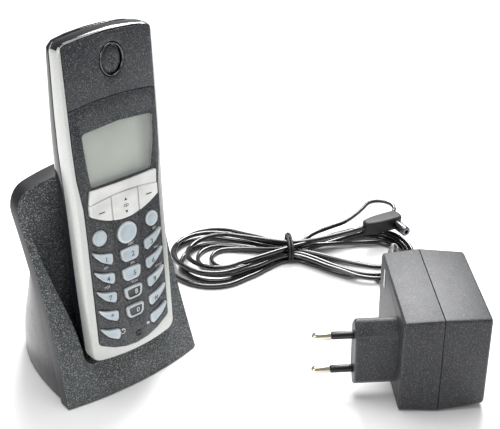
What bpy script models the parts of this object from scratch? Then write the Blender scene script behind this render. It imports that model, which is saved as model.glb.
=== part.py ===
"""Cordless telephone handset standing in its desk charging cradle, with the plug-in mains adapter and its lead.

The cradle faces -Y and the handset leans back in it. Lengths below are in millimetres and are scaled to
metres when the meshes are made. Each named object is one physical piece.
"""

import math

import bmesh
import bpy
from mathutils import Matrix, Vector

MM = 0.001
GAP = 0.3

# Cradle
SITE_Y = -32.0
PLATE_LEAN = math.radians(19.0)
PLATE_HALF_WIDTH = 36.2
PLATE_HEIGHT = 105.5
PLATE_THICKNESS = 5.8
PLATE_BOW = 4.2
PLATE_TOP_BOW = 5.5
PLATE_CORNER = 9.0
PLATE_WAIST = 1.9
PLATE_BOTTOM = 0.6
POCKET_FLOOR = 16.5
POCKET_CORNER = 4.0
POCKET_HALF_WIDTH = 23.4
POCKET_WALL = 2.0
SHELL_TOP = 90.0
SHELL_WALL = 2.2
SHELL_HALF_WIDTH = 34.8
SHELL_DEPTH = 68.0
SHELL_BOTTOM = 0.8
FOOT_INSET = 5.0
FOOT_WIDTH = 5.0
FOOT_HEIGHT = 1.0
FOOT_EDGE = 0.3
BASE_BOTTOM = 1.3
BASE_THICKNESS = 2.0
BALLAST = ((-19.0, 33.0, 3.7), (19.0, 49.0, 10.2))
CRADLE_BOARD = ((-18.0, 12.0, 7.0), (18.0, 31.0, 8.6))
CONTACT_BLOCK = ((-12.0, 3.5, 15.6), (12.0, 13.0, 17.8))
CONTACT_X = 7.0
CONTACT_HALF = 1.3
CONTACT_SLOT = 1.7
SOCKET_Z = 9.0
SOCKET_FRONT = 53.4
SOCKET_REAR = 63.6
SOCKET_HALF_WIDTH = 4.5
SOCKET_HALF_HEIGHT = 4.8
SOCKET_BORE = 2.85
SOCKET_MOUTH = 3.6
SOCKET_PIN = 0.95

# Handset: z runs up its face from the desk and y runs back from the key tops
HANDSET_LEAN = math.radians(4.3)
HANDSET_FORWARD = 5.6
HANDSET_BOTTOM = 19.0
HANDSET_TOP = 168.6
HANDSET_HALF_WIDTH = 22.4
HANDSET_DEPTH = 24.3
BODY_CORNER = 4.0
PANEL_BOTTOM = 22.7
PANEL_TOP = 167.6
KEYPAD_HALF_WIDTH = 18.8
HEAD_HALF_WIDTH = 21.0
PANEL_THICKNESS = 1.8
PANEL_CORNER = 1.2
PANEL_CROWN = 1.7
PANEL_FRONT = 0.6
ARCH_CENTRE = 141.3
ARCH_DROP = 2.2
TOP_ROUND = 9.0
FOOT_ROUND = 7.0
BACK_SQUARE = 0.62
BACK_WALL = 1.8
COVER_LOW = 38.0
COVER_HIGH = 92.0
COVER_HALF = 14.0
COVER_THICKNESS = 1.5
COVER_CORNER = 4.0
CHIN_TOP = 103.2
KEY_CLEARANCE = 0.35
KEY_STEM = 5.4
ROW_PITCH = 9.5
FIRST_ROW = 70.4
COLUMN_PITCH = 13.1
MIC_AT = (1.2, 27.2)
MIC_RADIUS = 1.6
EAR = (0.4, 156.0)
EAR_HOLE = (6.1, 7.4)
EAR_RING = (5.75, 7.05)
EAR_DISC = (4.4, 5.7)
LCD = ((-17.4, 3.9, 102.6), (19.0, 6.3, 131.0))
KEYPAD_MAT = ((-16.6, 6.5, 30.4), (17.0, 7.3, 99.6))
MAIN_BOARD = ((-17.5, 7.6, 31.0), (17.5, 8.8, 160.0))
CELL_SPACING = 10.8
CELL_DEPTH = 14.6
CELL_RADIUS = 4.9
PAD_Y = 13.6
PAD_HALF_WIDTH = 1.6
PAD_HALF_DEPTH = 2.0
PAD_TALL = 3.7

# Mains adapter: x runs along the pins, y away from the plug side and z up
ADAPTER_AT = (89.3, -106.8, 0.05)
ADAPTER_TURN = math.radians(-38.2)
ADAPTER_TILT = math.radians(-2.0)
ADAPTER_LONG = 59.5
ADAPTER_TALL = 49.8
FRONT_HALF = 17.6
REAR_HALF = 21.4
ADAPTER_WALL = 2.0
PLUG_REACH = 18.8
PLUG_ACROSS = 16.8
PLUG_UP = 23.2
PLUG_HEIGHT = 35.3
PLUG_WIDTH = 13.7
PIN_SPACING = 18.8
PIN_LENGTH = 19.0
PIN_TIP = 9.0
PIN_RADIUS = 2.0
PIN_CORE = 1.35
PIN_BORE = 2.15
SLEEVE_RADIUS = 1.85
SLEEVE_BORE = 1.6
PLUG_BEVEL = 6.0
PLUG_PEAK = 1.2
FRONT_DRAFT = (0.62, 1.15, 0.9, 0.9)
REAR_DRAFT = (1.65, 1.65, 1.9, 1.9)
CORE = ((-12.0, 12.0, 5.0), (12.0, 50.0, 45.0))
CORE_WINDOW = ((-20.0, 19.0, 12.0), (20.0, 43.0, 38.0))
WINDING = ((-14.5, 19.4, 12.4), (14.5, 42.6, 37.6))
RELIEF_X = -7.0
RELIEF_Z = 39.0
RELIEF_LENGTH = 15.0

# Lead
CORD_RADIUS = 1.25
HANK_HEIGHT = 8.0
HANK_LEFT = (90.0, 52.0)
HANK_TIE = (128.0, 31.0)
HANK_RIGHT = (160.0, 2.0)
HANK_LEFT_RADIUS = 25.0
HANK_RIGHT_RADIUS = 26.0
HANK_WAIST = 6.5
HANK_EDGE = 1.6
DESK_GAP = 0.1
TIE_HALF = 9.3
TIE_BAND = 0.8
TIE_WIDTH = 4.0
TIE_RISE = 0.6
PLUG_ORIGIN = (166.0, 11.0, 12.6)
PLUG_HEADING = math.radians(-13.0)
PLUG_BODY = 24.0
BARREL_AT = 18.8
BARREL_RADIUS = 2.75
BARREL_BORE = 1.1


def clear_scene():
    for obj in list(bpy.data.objects):
        bpy.data.objects.remove(obj, do_unlink=True)


def material(name, colour, roughness, metallic=0.0, alpha=1.0):
    made = bpy.data.materials.new(name)
    made.use_nodes = True
    shader = made.node_tree.nodes["Principled BSDF"]
    shader.inputs["Base Color"].default_value = (*colour, 1.0)
    shader.inputs["Roughness"].default_value = roughness
    shader.inputs["Metallic"].default_value = metallic
    shader.inputs["Alpha"].default_value = alpha
    made.diffuse_color = (*colour, alpha)
    return made


def frame(name, at, turn=(0.0, 0.0, 0.0), parent=None):
    empty = bpy.data.objects.new(name, None)
    bpy.context.scene.collection.objects.link(empty)
    empty.location = [value * MM for value in at]
    empty.rotation_euler = turn
    empty.parent = parent
    return empty


def piece(name, bm, made_of, parent, at=(0.0, 0.0, 0.0)):
    """One named object. The mesh is given in its parent's millimetres and its origin is put at the point named."""
    bmesh.ops.remove_doubles(bm, verts=bm.verts, dist=0.0001)
    bmesh.ops.recalc_face_normals(bm, faces=bm.faces)
    bmesh.ops.translate(bm, verts=bm.verts, vec=-Vector(at))
    bmesh.ops.scale(bm, verts=bm.verts, vec=(MM, MM, MM))
    mesh = bpy.data.meshes.new(name)
    bm.to_mesh(mesh)
    bm.free()
    obj = bpy.data.objects.new(name, mesh)
    bpy.context.scene.collection.objects.link(obj)
    obj.parent = parent
    obj.location = [value * MM for value in at]
    if made_of is not None:
        mesh.materials.append(made_of)
    return obj


def cutter(name, bm, parent):
    obj = piece(name, bm, None, parent)
    obj.hide_render = True
    obj.display_type = "WIRE"
    return obj


def combine(obj, other, operation):
    modifier = obj.modifiers.new(f"{operation.lower()} {other.name}", "BOOLEAN")
    modifier.operation = operation
    modifier.solver = "EXACT"
    modifier.object = other
    return obj


def loft(rings, closed=False):
    """Skins a list of equal rings of points. An open stack gets a flat cap at each end."""
    bm = bmesh.new()
    rows = [[bm.verts.new(point) for point in ring] for ring in rings]
    pairs = list(zip(rows, rows[1:]))
    if closed:
        pairs.append((rows[-1], rows[0]))
    count = len(rows[0])
    for lower, upper in pairs:
        for index in range(count):
            after = (index + 1) % count
            bm.faces.new((lower[index], lower[after], upper[after], upper[index]))
    if not closed:
        bm.faces.new(rows[0])
        bm.faces.new(list(reversed(rows[-1])))
    return bm


def box(low, high):
    bm = bmesh.new()
    bmesh.ops.create_cube(bm, size=1.0)
    size = [high[axis] - low[axis] for axis in range(3)]
    middle = [(high[axis] + low[axis]) / 2 for axis in range(3)]
    bmesh.ops.scale(bm, verts=bm.verts, vec=size)
    bmesh.ops.translate(bm, verts=bm.verts, vec=middle)
    return bm


def rod(start, end, radius, end_radius=None, sides=24):
    """A cylinder or cone between two points."""
    start = Vector(start)
    end = Vector(end)
    along = end - start
    bm = bmesh.new()
    bmesh.ops.create_cone(
        bm,
        cap_ends=True,
        segments=sides,
        radius1=radius,
        radius2=radius if end_radius is None else end_radius,
        depth=along.length,
    )
    turn = Vector((0, 0, 1)).rotation_difference(along).to_matrix().to_4x4()
    bmesh.ops.transform(bm, verts=bm.verts, matrix=Matrix.Translation((start + end) / 2) @ turn)
    return bm


def turned(profile, sides=24, axis="Y", centre=(0.0, 0.0, 0.0)):
    """Turns (radius, position) pairs about one axis through the centre. The ends are closed."""
    rings = []
    for radius, along in profile:
        ring = []
        for index in range(sides):
            angle = 2 * math.pi * index / sides
            across = (radius * math.cos(angle), radius * math.sin(angle))
            if axis == "Y":
                point = (across[0], along, across[1])
            elif axis == "X":
                point = (along, across[0], across[1])
            else:
                point = (across[0], across[1], along)
            ring.append([point[i] + centre[i] for i in range(3)])
        rings.append(ring)
    return loft(rings)


def smooth_step(value, low, high):
    part = min(max((value - low) / (high - low), 0.0), 1.0)
    return part * part * (3 - 2 * part)


def arc(centre, radius, start, end, count):
    """Points on an arc, in degrees, both ends included."""
    points = []
    for index in range(count):
        angle = math.radians(start + (end - start) * index / (count - 1))
        points.append((centre[0] + radius * math.cos(angle), centre[1] + radius * math.sin(angle)))
    return points


def face_outline(width_at, bottom, top, radius, bottom_bow, top_bow, sides=10, ends=6):
    """A tall rounded outline in (x, z). width_at(z) is half the width, and the two ends bow outwards."""
    middle = (bottom + top) / 2
    half = (top - bottom) / 2
    base = width_at(middle)
    inner = base - radius
    reach = half - radius
    points = []
    for index in range(sides):
        points.append((base, -reach + 2 * reach * index / sides))
    points += arc((inner, reach), radius, 0, 90, 5)[:-1]
    for index in range(ends):
        points.append((inner - 2 * inner * index / ends, half))
    points += arc((-inner, reach), radius, 90, 180, 5)[:-1]
    for index in range(sides):
        points.append((-base, reach - 2 * reach * index / sides))
    points += arc((-inner, -reach), radius, 180, 270, 5)[:-1]
    for index in range(ends):
        points.append((-inner + 2 * inner * index / ends, -half))
    points += arc((inner, -reach), radius, 270, 360, 5)[:-1]
    shaped = []
    for x, rise in points:
        share = abs(rise) / half
        bow = top_bow if rise > 0 else bottom_bow
        shift = bow * (x / base) ** 2 * share ** 3
        z = middle + rise - math.copysign(shift, rise)
        shaped.append((x * width_at(z) / base, z))
    return shaped


def body_half_width(z):
    head = 0.5 * math.exp(-(((z - 132) / 26) ** 2))
    waist = 0.5 * math.exp(-(((z - 88) / 22) ** 2))
    return HANDSET_HALF_WIDTH + head - waist


def panel_half_width(z):
    return KEYPAD_HALF_WIDTH + (HEAD_HALF_WIDTH - KEYPAD_HALF_WIDTH) * smooth_step(z, 92, 116)


def body_outline(inset):
    return face_outline(
        lambda z: body_half_width(z) - inset,
        HANDSET_BOTTOM + inset,
        HANDSET_TOP - inset,
        BODY_CORNER - inset,
        1.8,
        2.4,
    )


def panel_outline(inset):
    return face_outline(
        lambda z: panel_half_width(z) - inset,
        PANEL_BOTTOM + inset,
        PANEL_TOP - inset,
        PANEL_CORNER - inset,
        6.6,
        2.2,
    )


def crown(x):
    return PANEL_FRONT + PANEL_CROWN * (x / HANDSET_HALF_WIDTH) ** 2


def frame_back(z):
    """How far back the silver side band reaches."""
    return 9.4 + 2.4 * math.sin(math.pi * min(max((z - HANDSET_BOTTOM) / 150, 0), 1)) ** 1.3


def back_depth(z):
    """How far back the rear shell bulges at this height."""
    top_taper = smooth_step(z, 96, 172)
    bottom_taper = 1 - smooth_step(z, 16, 52)
    return HANDSET_DEPTH - 7.6 * top_taper - 3.6 * bottom_taper


def prism(outline, front, back):
    """Extrudes an (x, z) outline along y."""
    return loft([[(x, front, z) for x, z in outline], [(x, back, z) for x, z in outline]])


def scaled(outline, factor):
    middle_x = sum(point[0] for point in outline) / len(outline)
    middle_z = sum(point[1] for point in outline) / len(outline)
    return [(middle_x + (x - middle_x) * factor, middle_z + (z - middle_z) * factor) for x, z in outline]


def grown(outline, amount):
    """Moves each point of an outline outwards along its corner's normal."""
    count = len(outline)
    area = sum(
        outline[i][0] * outline[(i + 1) % count][1] - outline[(i + 1) % count][0] * outline[i][1]
        for i in range(count)
    )
    sign = 1 if area > 0 else -1
    moved = []
    for index in range(count):
        before = Vector(outline[index - 1])
        here = Vector(outline[index])
        after = Vector(outline[(index + 1) % count])
        first = (here - before).normalized()
        second = (after - here).normalized()
        normal = (Vector((first.y, -first.x)) + Vector((second.y, -second.x))).normalized()
        moved.append(tuple(here + normal * amount * sign))
    return moved


def rounded(corners, radius, steps=4):
    """Rounds each corner of a polygon in (x, z)."""
    points = []
    count = len(corners)
    for index in range(count):
        before = Vector(corners[index - 1])
        here = Vector(corners[index])
        after = Vector(corners[(index + 1) % count])
        reach = min(radius, (before - here).length * 0.45, (after - here).length * 0.45)
        start = here + (before - here).normalized() * reach
        end = here + (after - here).normalized() * reach
        for step in range(steps + 1):
            part = step / steps
            points.append(tuple(start * (1 - part) ** 2 + here * 2 * part * (1 - part) + end * part ** 2))
    return points


def ellipse(centre, half_width, half_height, count=28):
    points = []
    for index in range(count):
        angle = 2 * math.pi * index / count
        points.append(
            (centre[0] + half_width * math.cos(angle), centre[1] + half_height * math.sin(angle))
        )
    return points


clear_scene()

SPECKLED_GREY = material("speckled_grey", (0.105, 0.115, 0.12), 0.55)
SMOOTH_BLACK = material("smooth_black", (0.025, 0.025, 0.032), 0.4)
GLOSS_CHARCOAL = material("gloss_charcoal", (0.04, 0.048, 0.055), 0.25)
GLOSS_BLACK = material("gloss_black", (0.012, 0.012, 0.015), 0.15)
SILVER = material("silver_paint", (0.62, 0.63, 0.62), 0.35, 0.35)
PEARL = material("pearl_white", (0.85, 0.85, 0.83), 0.35)
ICE_BLUE = material("ice_blue_key", (0.58, 0.73, 0.78), 0.3)
CHROME = material("chrome", (0.8, 0.8, 0.8), 0.12, 1.0)
DISPLAY_GREY = material("display_grey", (0.5, 0.54, 0.48), 0.3)
CLEAR_LENS = material("clear_lens", (0.9, 0.93, 0.92), 0.05, 0.0, 0.25)
BOARD = material("circuit_board", (0.03, 0.16, 0.07), 0.5)
RUBBER = material("black_rubber", (0.02, 0.02, 0.02), 0.8)
STEEL = material("steel", (0.55, 0.55, 0.56), 0.3, 1.0)
BRASS = material("nickel_brass", (0.72, 0.6, 0.42), 0.25, 1.0)
ADAPTER_GREY = material("adapter_charcoal", (0.055, 0.056, 0.062), 0.6)
COPPER = material("copper_winding", (0.6, 0.25, 0.1), 0.35, 0.8)
CELL_GREEN = material("cell_wrap", (0.1, 0.3, 0.16), 0.4)
CORD_BLACK = material("cord_black", (0.015, 0.015, 0.015), 0.22)

site = frame("site", (0, SITE_Y, 0))
tan_lean = math.tan(PLATE_LEAN)


# Cradle front moulding: leaning plate with the scooped pocket

def plate_top(x):
    share = abs(x) / PLATE_HALF_WIDTH
    over = max(abs(x) - (PLATE_HALF_WIDTH - PLATE_CORNER), 0)
    corner = PLATE_CORNER - math.sqrt(max(PLATE_CORNER ** 2 - over ** 2, 0))
    height = PLATE_HEIGHT - PLATE_TOP_BOW * share ** 2 - corner
    return height * math.cos(PLATE_LEAN)


def plate_point(x, share, back):
    height = PLATE_BOTTOM + (plate_top(x) - PLATE_BOTTOM) * share
    waist = 1 - PLATE_WAIST / PLATE_HALF_WIDTH * math.sin(math.pi * min(height / 100, 1))
    y = height * tan_lean
    if back:
        y += PLATE_THICKNESS
    else:
        y -= PLATE_BOW * (1 - (x / PLATE_HALF_WIDTH) ** 2)
    return (x * waist, y, height)


def plate_columns():
    flat = PLATE_HALF_WIDTH - PLATE_CORNER
    inner = [flat * index / 7 for index in range(8)]
    outer = [flat + PLATE_CORNER * math.sin(math.radians(90 * index / 6)) for index in range(1, 7)]
    right = inner + outer
    return [-x for x in reversed(right[1:])] + right


def grid_slab(columns, rows, point):
    """A closed slab between the front and back grids that point(column, row share, back) gives."""
    bm = bmesh.new()
    grids = {}
    for back in (False, True):
        grids[back] = [
            [bm.verts.new(point(x, row / rows, back)) for row in range(rows + 1)] for x in columns
        ]
    last = len(columns) - 1
    for i in range(last):
        for j in range(rows):
            front = grids[False]
            bm.faces.new((front[i][j], front[i + 1][j], front[i + 1][j + 1], front[i][j + 1]))
            rear = grids[True]
            bm.faces.new((rear[i][j], rear[i][j + 1], rear[i + 1][j + 1], rear[i + 1][j]))
    for i in range(last):
        for j in (0, rows):
            bm.faces.new((grids[False][i][j], grids[True][i][j], grids[True][i + 1][j], grids[False][i + 1][j]))
    for j in range(rows):
        for i in (0, last):
            bm.faces.new((grids[False][i][j], grids[False][i][j + 1], grids[True][i][j + 1], grids[True][i][j]))
    return bm


def handset_back(height):
    return -HANDSET_FORWARD + height * math.tan(HANDSET_LEAN) + HANDSET_DEPTH


def scoop_section(height, grow, front):
    """One level section of the pocket: boxy around the handset's foot and dished higher up."""
    openness = smooth_step(height, 22, 80)
    low = min(max(POCKET_FLOOR - grow + POCKET_CORNER - height, 0.0), POCKET_CORNER)
    tuck = POCKET_CORNER - math.sqrt(POCKET_CORNER ** 2 - low ** 2)
    half = POCKET_HALF_WIDTH + 8.2 * openness + grow - tuck
    deep = handset_back(height) + 1.2 + 2.6 * smooth_step(height, 35, 75) + grow
    power = 9 - 6.4 * openness
    mouth = height * tan_lean + 0.2
    fade = (PLATE_BOW + 1.0) * smooth_step(height, 72, 97)
    ring = []
    count = 22
    for index in range(count + 1):
        angle = math.pi * index / count
        x = half * math.copysign(abs(math.cos(angle)) ** (2 / power), math.cos(angle))
        lift = math.sin(angle) ** (2 / power)
        ring.append((x, mouth + max(deep - mouth, 0.0) * lift - fade, height))
    ring.append((-half, front, height))
    ring.append((half, front, height))
    return ring


def scoop(grow, floor, ceiling, front):
    start = floor + POCKET_CORNER
    heights = [floor + POCKET_CORNER * (1 - math.cos(math.pi * index / 8)) for index in range(4)]
    heights += [start + (ceiling - start) * index / 14 for index in range(15)]
    return loft([scoop_section(height, grow, front) for height in heights])


cradle_top = piece("cradle_face", grid_slab(plate_columns(), 10, plate_point), SPECKLED_GREY, site)
tub_rings = [
    scoop_section(height, POCKET_WALL, height * tan_lean + 2.0)
    for height in [POCKET_FLOOR - POCKET_WALL + 65.0 * index / 10 for index in range(11)]
]
combine(cradle_top, cutter("tub", loft(tub_rings), site), "UNION")
combine(cradle_top, cutter("scoop_cut", scoop(0.0, POCKET_FLOOR, 97.6, -40.0), site), "DIFFERENCE")


# Cradle rear housing

def shell_section(height, inset, front_inset):
    rise = height / SHELL_TOP
    half = SHELL_HALF_WIDTH - 4.0 * rise - 13.0 * max(rise - 0.55, 0) ** 1.5 / 0.3 - inset
    front = height * tan_lean + PLATE_THICKNESS + GAP + front_inset
    slope = SHELL_DEPTH - 26.0 * smooth_step(height, 4, 74)
    rear = max(slope, front + 6.0) - inset
    ring = []
    count = 24
    for index in range(count + 1):
        angle = math.pi * index / count
        x = half * math.copysign(abs(math.cos(angle)) ** 0.8, math.cos(angle))
        ring.append((x, front + (rear - front) * math.sin(angle) ** 0.85, height))
    return ring


def shell_loft(inset, front_inset, low, high, levels=11):
    heights = [low + (high - low) * index / (levels - 1) for index in range(levels)]
    return loft([shell_section(height, inset, front_inset) for height in heights])


rear = piece("cradle_rear_shell", shell_loft(0, 0, SHELL_BOTTOM, SHELL_TOP), SMOOTH_BLACK, site)
shell_hollow = shell_loft(SHELL_WALL, SHELL_WALL, -4.0, SHELL_TOP - 8.0)
combine(rear, cutter("shell_hollow", shell_hollow, site), "DIFFERENCE")
tub_room = [
    scoop_section(height, POCKET_WALL + GAP, height * tan_lean - 8.0)
    for height in [POCKET_FLOOR - POCKET_WALL - GAP + 66.5 * index / 10 for index in range(11)]
]
combine(rear, cutter("tub_room", loft(tub_room), site), "DIFFERENCE")
behind = SHELL_DEPTH + 10.0
socket_hole = rod((0, SOCKET_FRONT, SOCKET_Z), (0, behind, SOCKET_Z), SOCKET_MOUTH)
combine(rear, cutter("socket_hole", socket_hole, site), "DIFFERENCE")

base_inset = SHELL_WALL + GAP
base_levels = (BASE_BOTTOM, BASE_BOTTOM + BASE_THICKNESS)
base_rings = [shell_section(height, base_inset, base_inset) for height in base_levels]
piece("cradle_base_plate", loft(base_rings), SMOOTH_BLACK, site)

foot_edge = (
    (FOOT_EDGE, 0.0),
    (0.0, FOOT_EDGE),
    (0.0, FOOT_HEIGHT),
    (FOOT_WIDTH, FOOT_HEIGHT),
    (FOOT_WIDTH, FOOT_EDGE),
    (FOOT_WIDTH - FOOT_EDGE, 0.0),
)
foot_rings = []
for inset, z in foot_edge:
    section = shell_section(FOOT_HEIGHT * 2, FOOT_INSET + inset, FOOT_INSET + inset)
    foot_rings.append([(x, y, z) for x, y, _ in section])
piece("non_slip_foot", loft(foot_rings, closed=True), RUBBER, site)

piece("ballast_weight", box(*BALLAST), STEEL, site)
piece("cradle_circuit_board", box(*CRADLE_BOARD), BOARD, site)

# Charging socket low on the back: a block with a round bore and a centre pin
socket_body = box(
    (-SOCKET_HALF_WIDTH, SOCKET_FRONT, SOCKET_Z - SOCKET_HALF_HEIGHT),
    (SOCKET_HALF_WIDTH, SOCKET_REAR, SOCKET_Z + SOCKET_HALF_HEIGHT),
)
socket = piece("dc_socket", socket_body, GLOSS_BLACK, site)
socket_bore = rod((0, SOCKET_FRONT + 2.0, SOCKET_Z), (0, behind, SOCKET_Z), SOCKET_BORE)
combine(socket, cutter("socket_bore", socket_bore, site), "DIFFERENCE")
pin_line = ((SOCKET_PIN, SOCKET_FRONT + 1.2), (SOCKET_PIN, SOCKET_REAR - 1.2), (0.5, SOCKET_REAR - 0.5))
socket_pin = turned(pin_line, 14, "Y", (0, 0, SOCKET_Z))
combine(socket, cutter("socket_pin", socket_pin, site), "UNION")

# Raised block in the pocket that the handset's foot stands on, with its two sprung contacts
block_top = CONTACT_BLOCK[1][2]
slot_floor = block_top - 2.0
CONTACT_LINE = ((4.4, 0.3), (11.6, 0.3), (11.6, 0.7), (8.9, 1.9), (7.1, 1.9), (4.4, 0.7))
combine(cradle_top, cutter("contact_block", box(*CONTACT_BLOCK), site), "UNION")
for name, x in (("charge_contact_left", -CONTACT_X), ("charge_contact_right", CONTACT_X)):
    slot = box((x - CONTACT_SLOT, 4.0, slot_floor), (x + CONTACT_SLOT, 12.0, block_top + 5.0))
    combine(cradle_top, cutter(f"{name}_slot", slot, site), "DIFFERENCE")
    sides = []
    for side in (-CONTACT_HALF, CONTACT_HALF):
        sides.append([(x + side, y, slot_floor + lift) for y, lift in CONTACT_LINE])
    piece(name, loft(sides), CHROME, site)


# Handset

handset = frame("handset_frame", (0, -HANDSET_FORWARD, 0), (-HANDSET_LEAN, 0, 0), site)


def body_ring(inset, depth_at):
    return [(x, depth_at(x, z), z) for x, z in body_outline(inset)]


def opening_ring(grow, depth_at):
    return [(x, depth_at(x, z), z) for x, z in panel_outline(-grow)]


frame_rings = [
    opening_ring(GAP, lambda x, z: crown(x) + 0.35),
    body_ring(0.45, lambda x, z: crown(x) + 0.6),
    body_ring(0.0, lambda x, z: crown(x) + 1.6),
    body_ring(0.0, lambda x, z: frame_back(z) - 1.2),
    body_ring(0.4, lambda x, z: frame_back(z)),
    opening_ring(GAP, lambda x, z: frame_back(z)),
]
piece("handset_silver_frame", loft(frame_rings, closed=True), SILVER, handset)


def half_width_at(z):
    """Half the width of the body's outline at this height."""
    outline = body_outline(0.0)
    side = sorted((point[1], point[0]) for point in outline if point[0] >= 0)
    lowest = min(outline, key=lambda point: point[1])[1]
    highest = max(outline, key=lambda point: point[1])[1]
    side = [(lowest, 0.0)] + side + [(highest, 0.0)]
    widest = 0.0
    for (low_z, low_x), (high_z, high_x) in zip(side, side[1:]):
        if low_z <= z <= high_z and high_z > low_z:
            widest = max(widest, low_x + (high_x - low_x) * (z - low_z) / (high_z - low_z))
    return widest


def rear_profile(z):
    """Rearmost depth of the back at this height, rounded off at both ends."""
    front = frame_back(z) + GAP
    top = max(z - (HANDSET_TOP - TOP_ROUND), 0) / TOP_ROUND
    foot = max(HANDSET_BOTTOM + FOOT_ROUND - z, 0) / FOOT_ROUND
    fullness = (1 - 0.8 * min(top, 1) ** 2.4) * (1 - 0.45 * min(foot, 1) ** 2.4)
    return front + (back_depth(z) - front) * fullness


def back_section(z, inset, front_shift):
    half = half_width_at(z) - inset - 0.3
    front = frame_back(z) + GAP + front_shift
    depth = rear_profile(z) - inset
    ring = []
    count = 22
    for index in range(count + 1):
        angle = math.pi * index / count
        x = half * math.copysign(abs(math.cos(angle)) ** BACK_SQUARE, math.cos(angle))
        ring.append((x, front + (depth - front) * abs(math.sin(angle)) ** BACK_SQUARE, z))
    return ring


def back_loft(inset, front_shift, low, high):
    middle = 16
    heights = [low + step for step in (0.0, 0.9, 2.4, 4.8)]
    start = low + 9.0
    stop = high - 12.0
    heights += [start + (stop - start) * index / middle for index in range(middle + 1)]
    heights += [high - step for step in (7.5, 4.5, 2.2, 0.8, 0.0)]
    return loft([back_section(z, inset, front_shift) for z in heights])


back = piece(
    "handset_rear_shell",
    back_loft(0.0, 0.0, HANDSET_BOTTOM + 0.5, HANDSET_TOP - 0.3),
    GLOSS_CHARCOAL,
    handset,
)
hollow = back_loft(BACK_WALL, -7.0, HANDSET_BOTTOM + 3.4, HANDSET_TOP - 2.4)
combine(back, cutter("back_hollow", hollow, handset), "DIFFERENCE")

# Battery cover: the lower middle of the back
cover_corners = [
    (-COVER_HALF, COVER_LOW),
    (COVER_HALF, COVER_LOW),
    (COVER_HALF, COVER_HIGH),
    (-COVER_HALF, COVER_HIGH),
]
cover_outline = rounded(cover_corners, COVER_CORNER)
cover_hole = prism(grown(cover_outline, GAP), 16.0, 40.0)
combine(back, cutter("cover_opening", cover_hole, handset), "DIFFERENCE")


def cover_slab(x, share, back_side):
    z = COVER_LOW + (COVER_HIGH - COVER_LOW) * share
    half = half_width_at(z) - 0.3
    front = frame_back(z) + GAP
    power = 2 / BACK_SQUARE
    outside = front + (rear_profile(z) - front) * (1 - abs(x / half) ** power) ** (1 / power)
    return (x, outside if back_side else outside - COVER_THICKNESS, z)


cover_columns = [COVER_HALF * (index / 6 - 1) for index in range(13)]
cover_at = (0, rear_profile(COVER_LOW), COVER_LOW)
cover = piece("battery_cover", grid_slab(cover_columns, 8, cover_slab), GLOSS_CHARCOAL, handset, cover_at)
cover_trim = cutter("cover_trim", prism(cover_outline, 10.0, 40.0), handset)
combine(cover, cover_trim, "INTERSECT")


# Front panel and head cover, crowned across their width

def crowned_slab(low, high, thickness):
    columns = [26.0 * (index / 12 - 1) for index in range(25)]
    rings = []
    for z in (low, high):
        outside = [(x, crown(x), z) for x in columns]
        inside = [(x, crown(x) + thickness, z) for x in reversed(columns)]
        rings.append(outside + inside)
    return loft(rings)


def arch(x):
    return ARCH_CENTRE - ARCH_DROP * (x / HEAD_HALF_WIDTH) ** 2


def arch_side(shift, far):
    """Everything between the arched seam and a far level, as a prism through the panel."""
    columns = [24.0 * (index / 10 - 1) for index in range(21)]
    seam = [(x, arch(x) + shift) for x in columns]
    return prism(seam + [(columns[-1], far), (columns[0], far)], -20.0, 20.0)


def face_piece(name, outline, made_of, at):
    made = piece(name, prism(outline, -3.0, 6.0), made_of, handset, at)
    slab = cutter(f"{name}_slab", crowned_slab(10, 180, PANEL_THICKNESS), handset)
    combine(made, slab, "INTERSECT")
    return made


panel = face_piece("front_panel", panel_outline(0.0), GLOSS_CHARCOAL, (0, 0, 60))
combine(panel, cutter("above_arch", arch_side(-GAP / 2, HANDSET_TOP + 20.0), handset), "DIFFERENCE")
head = face_piece("head_cover", panel_outline(0.0), GLOSS_CHARCOAL, (0, 0, 150))
combine(head, cutter("below_arch", arch_side(GAP / 2, 0.0), handset), "DIFFERENCE")

# Display window, its chin and the three soft keys share one opening in the panel
WINDOW = (
    (-15.0, 103.8),
    (15.6, 103.8),
    (18.0, 117.0),
    (18.6, 128.6),
    (0.8, 130.2),
    (-16.8, 128.6),
    (-16.0, 115.0),
)
window_outline = rounded(WINDOW, 2.2)


def soft_top(x):
    return 98.4 - 1.7 * (x / 17.4) ** 2


def soft_bottom(x):
    return 86.0 + 6.2 * (abs(x) / 17.2) ** 1.9


def spread(reach):
    """Even positions from one side to the other."""
    return [reach * (index / 8 - 1) for index in range(17)]


chin_outline = [(x, soft_top(x) + GAP) for x in spread(17.0)] + [(17.4, CHIN_TOP), (-15.8, CHIN_TOP)]
opening = [(x, soft_bottom(x) - KEY_CLEARANCE) for x in spread(17.6)]
opening += [(17.9, 97.0), (17.9, CHIN_TOP + 0.2), (-16.2, CHIN_TOP + 0.2), (-17.9, 97.0)]
combine(panel, cutter("soft_opening", prism(opening, -6, 12), handset), "DIFFERENCE")
combine(panel, cutter("window_opening", prism(window_outline, -6, 12), handset), "DIFFERENCE")

lens_front = crown(16.0) - 0.1
lens_body = prism(grown(window_outline, -GAP), lens_front, lens_front + 1.0)
piece("display_lens", lens_body, CLEAR_LENS, handset)
piece("lcd_module", box(*LCD), DISPLAY_GREY, handset)
piece("display_chin", prism(chin_outline, 0.2, 2.6), PEARL, handset)


def key(name, outline, front, made_of):
    """A moulded key: domed front edge, body through the panel and an origin on its travel axis."""
    middle = (
        sum(point[0] for point in outline) / len(outline),
        sum(point[1] for point in outline) / len(outline),
    )
    rings = [
        [(x, KEY_STEM, z) for x, z in outline],
        [(x, front + 0.55, z) for x, z in outline],
        [(x, front + 0.15, z) for x, z in scaled(outline, 0.95)],
        [(x, front, z) for x, z in scaled(outline, 0.86)],
    ]
    piece(name, loft(rings), made_of, handset, (middle[0], front, middle[1]))


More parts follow.
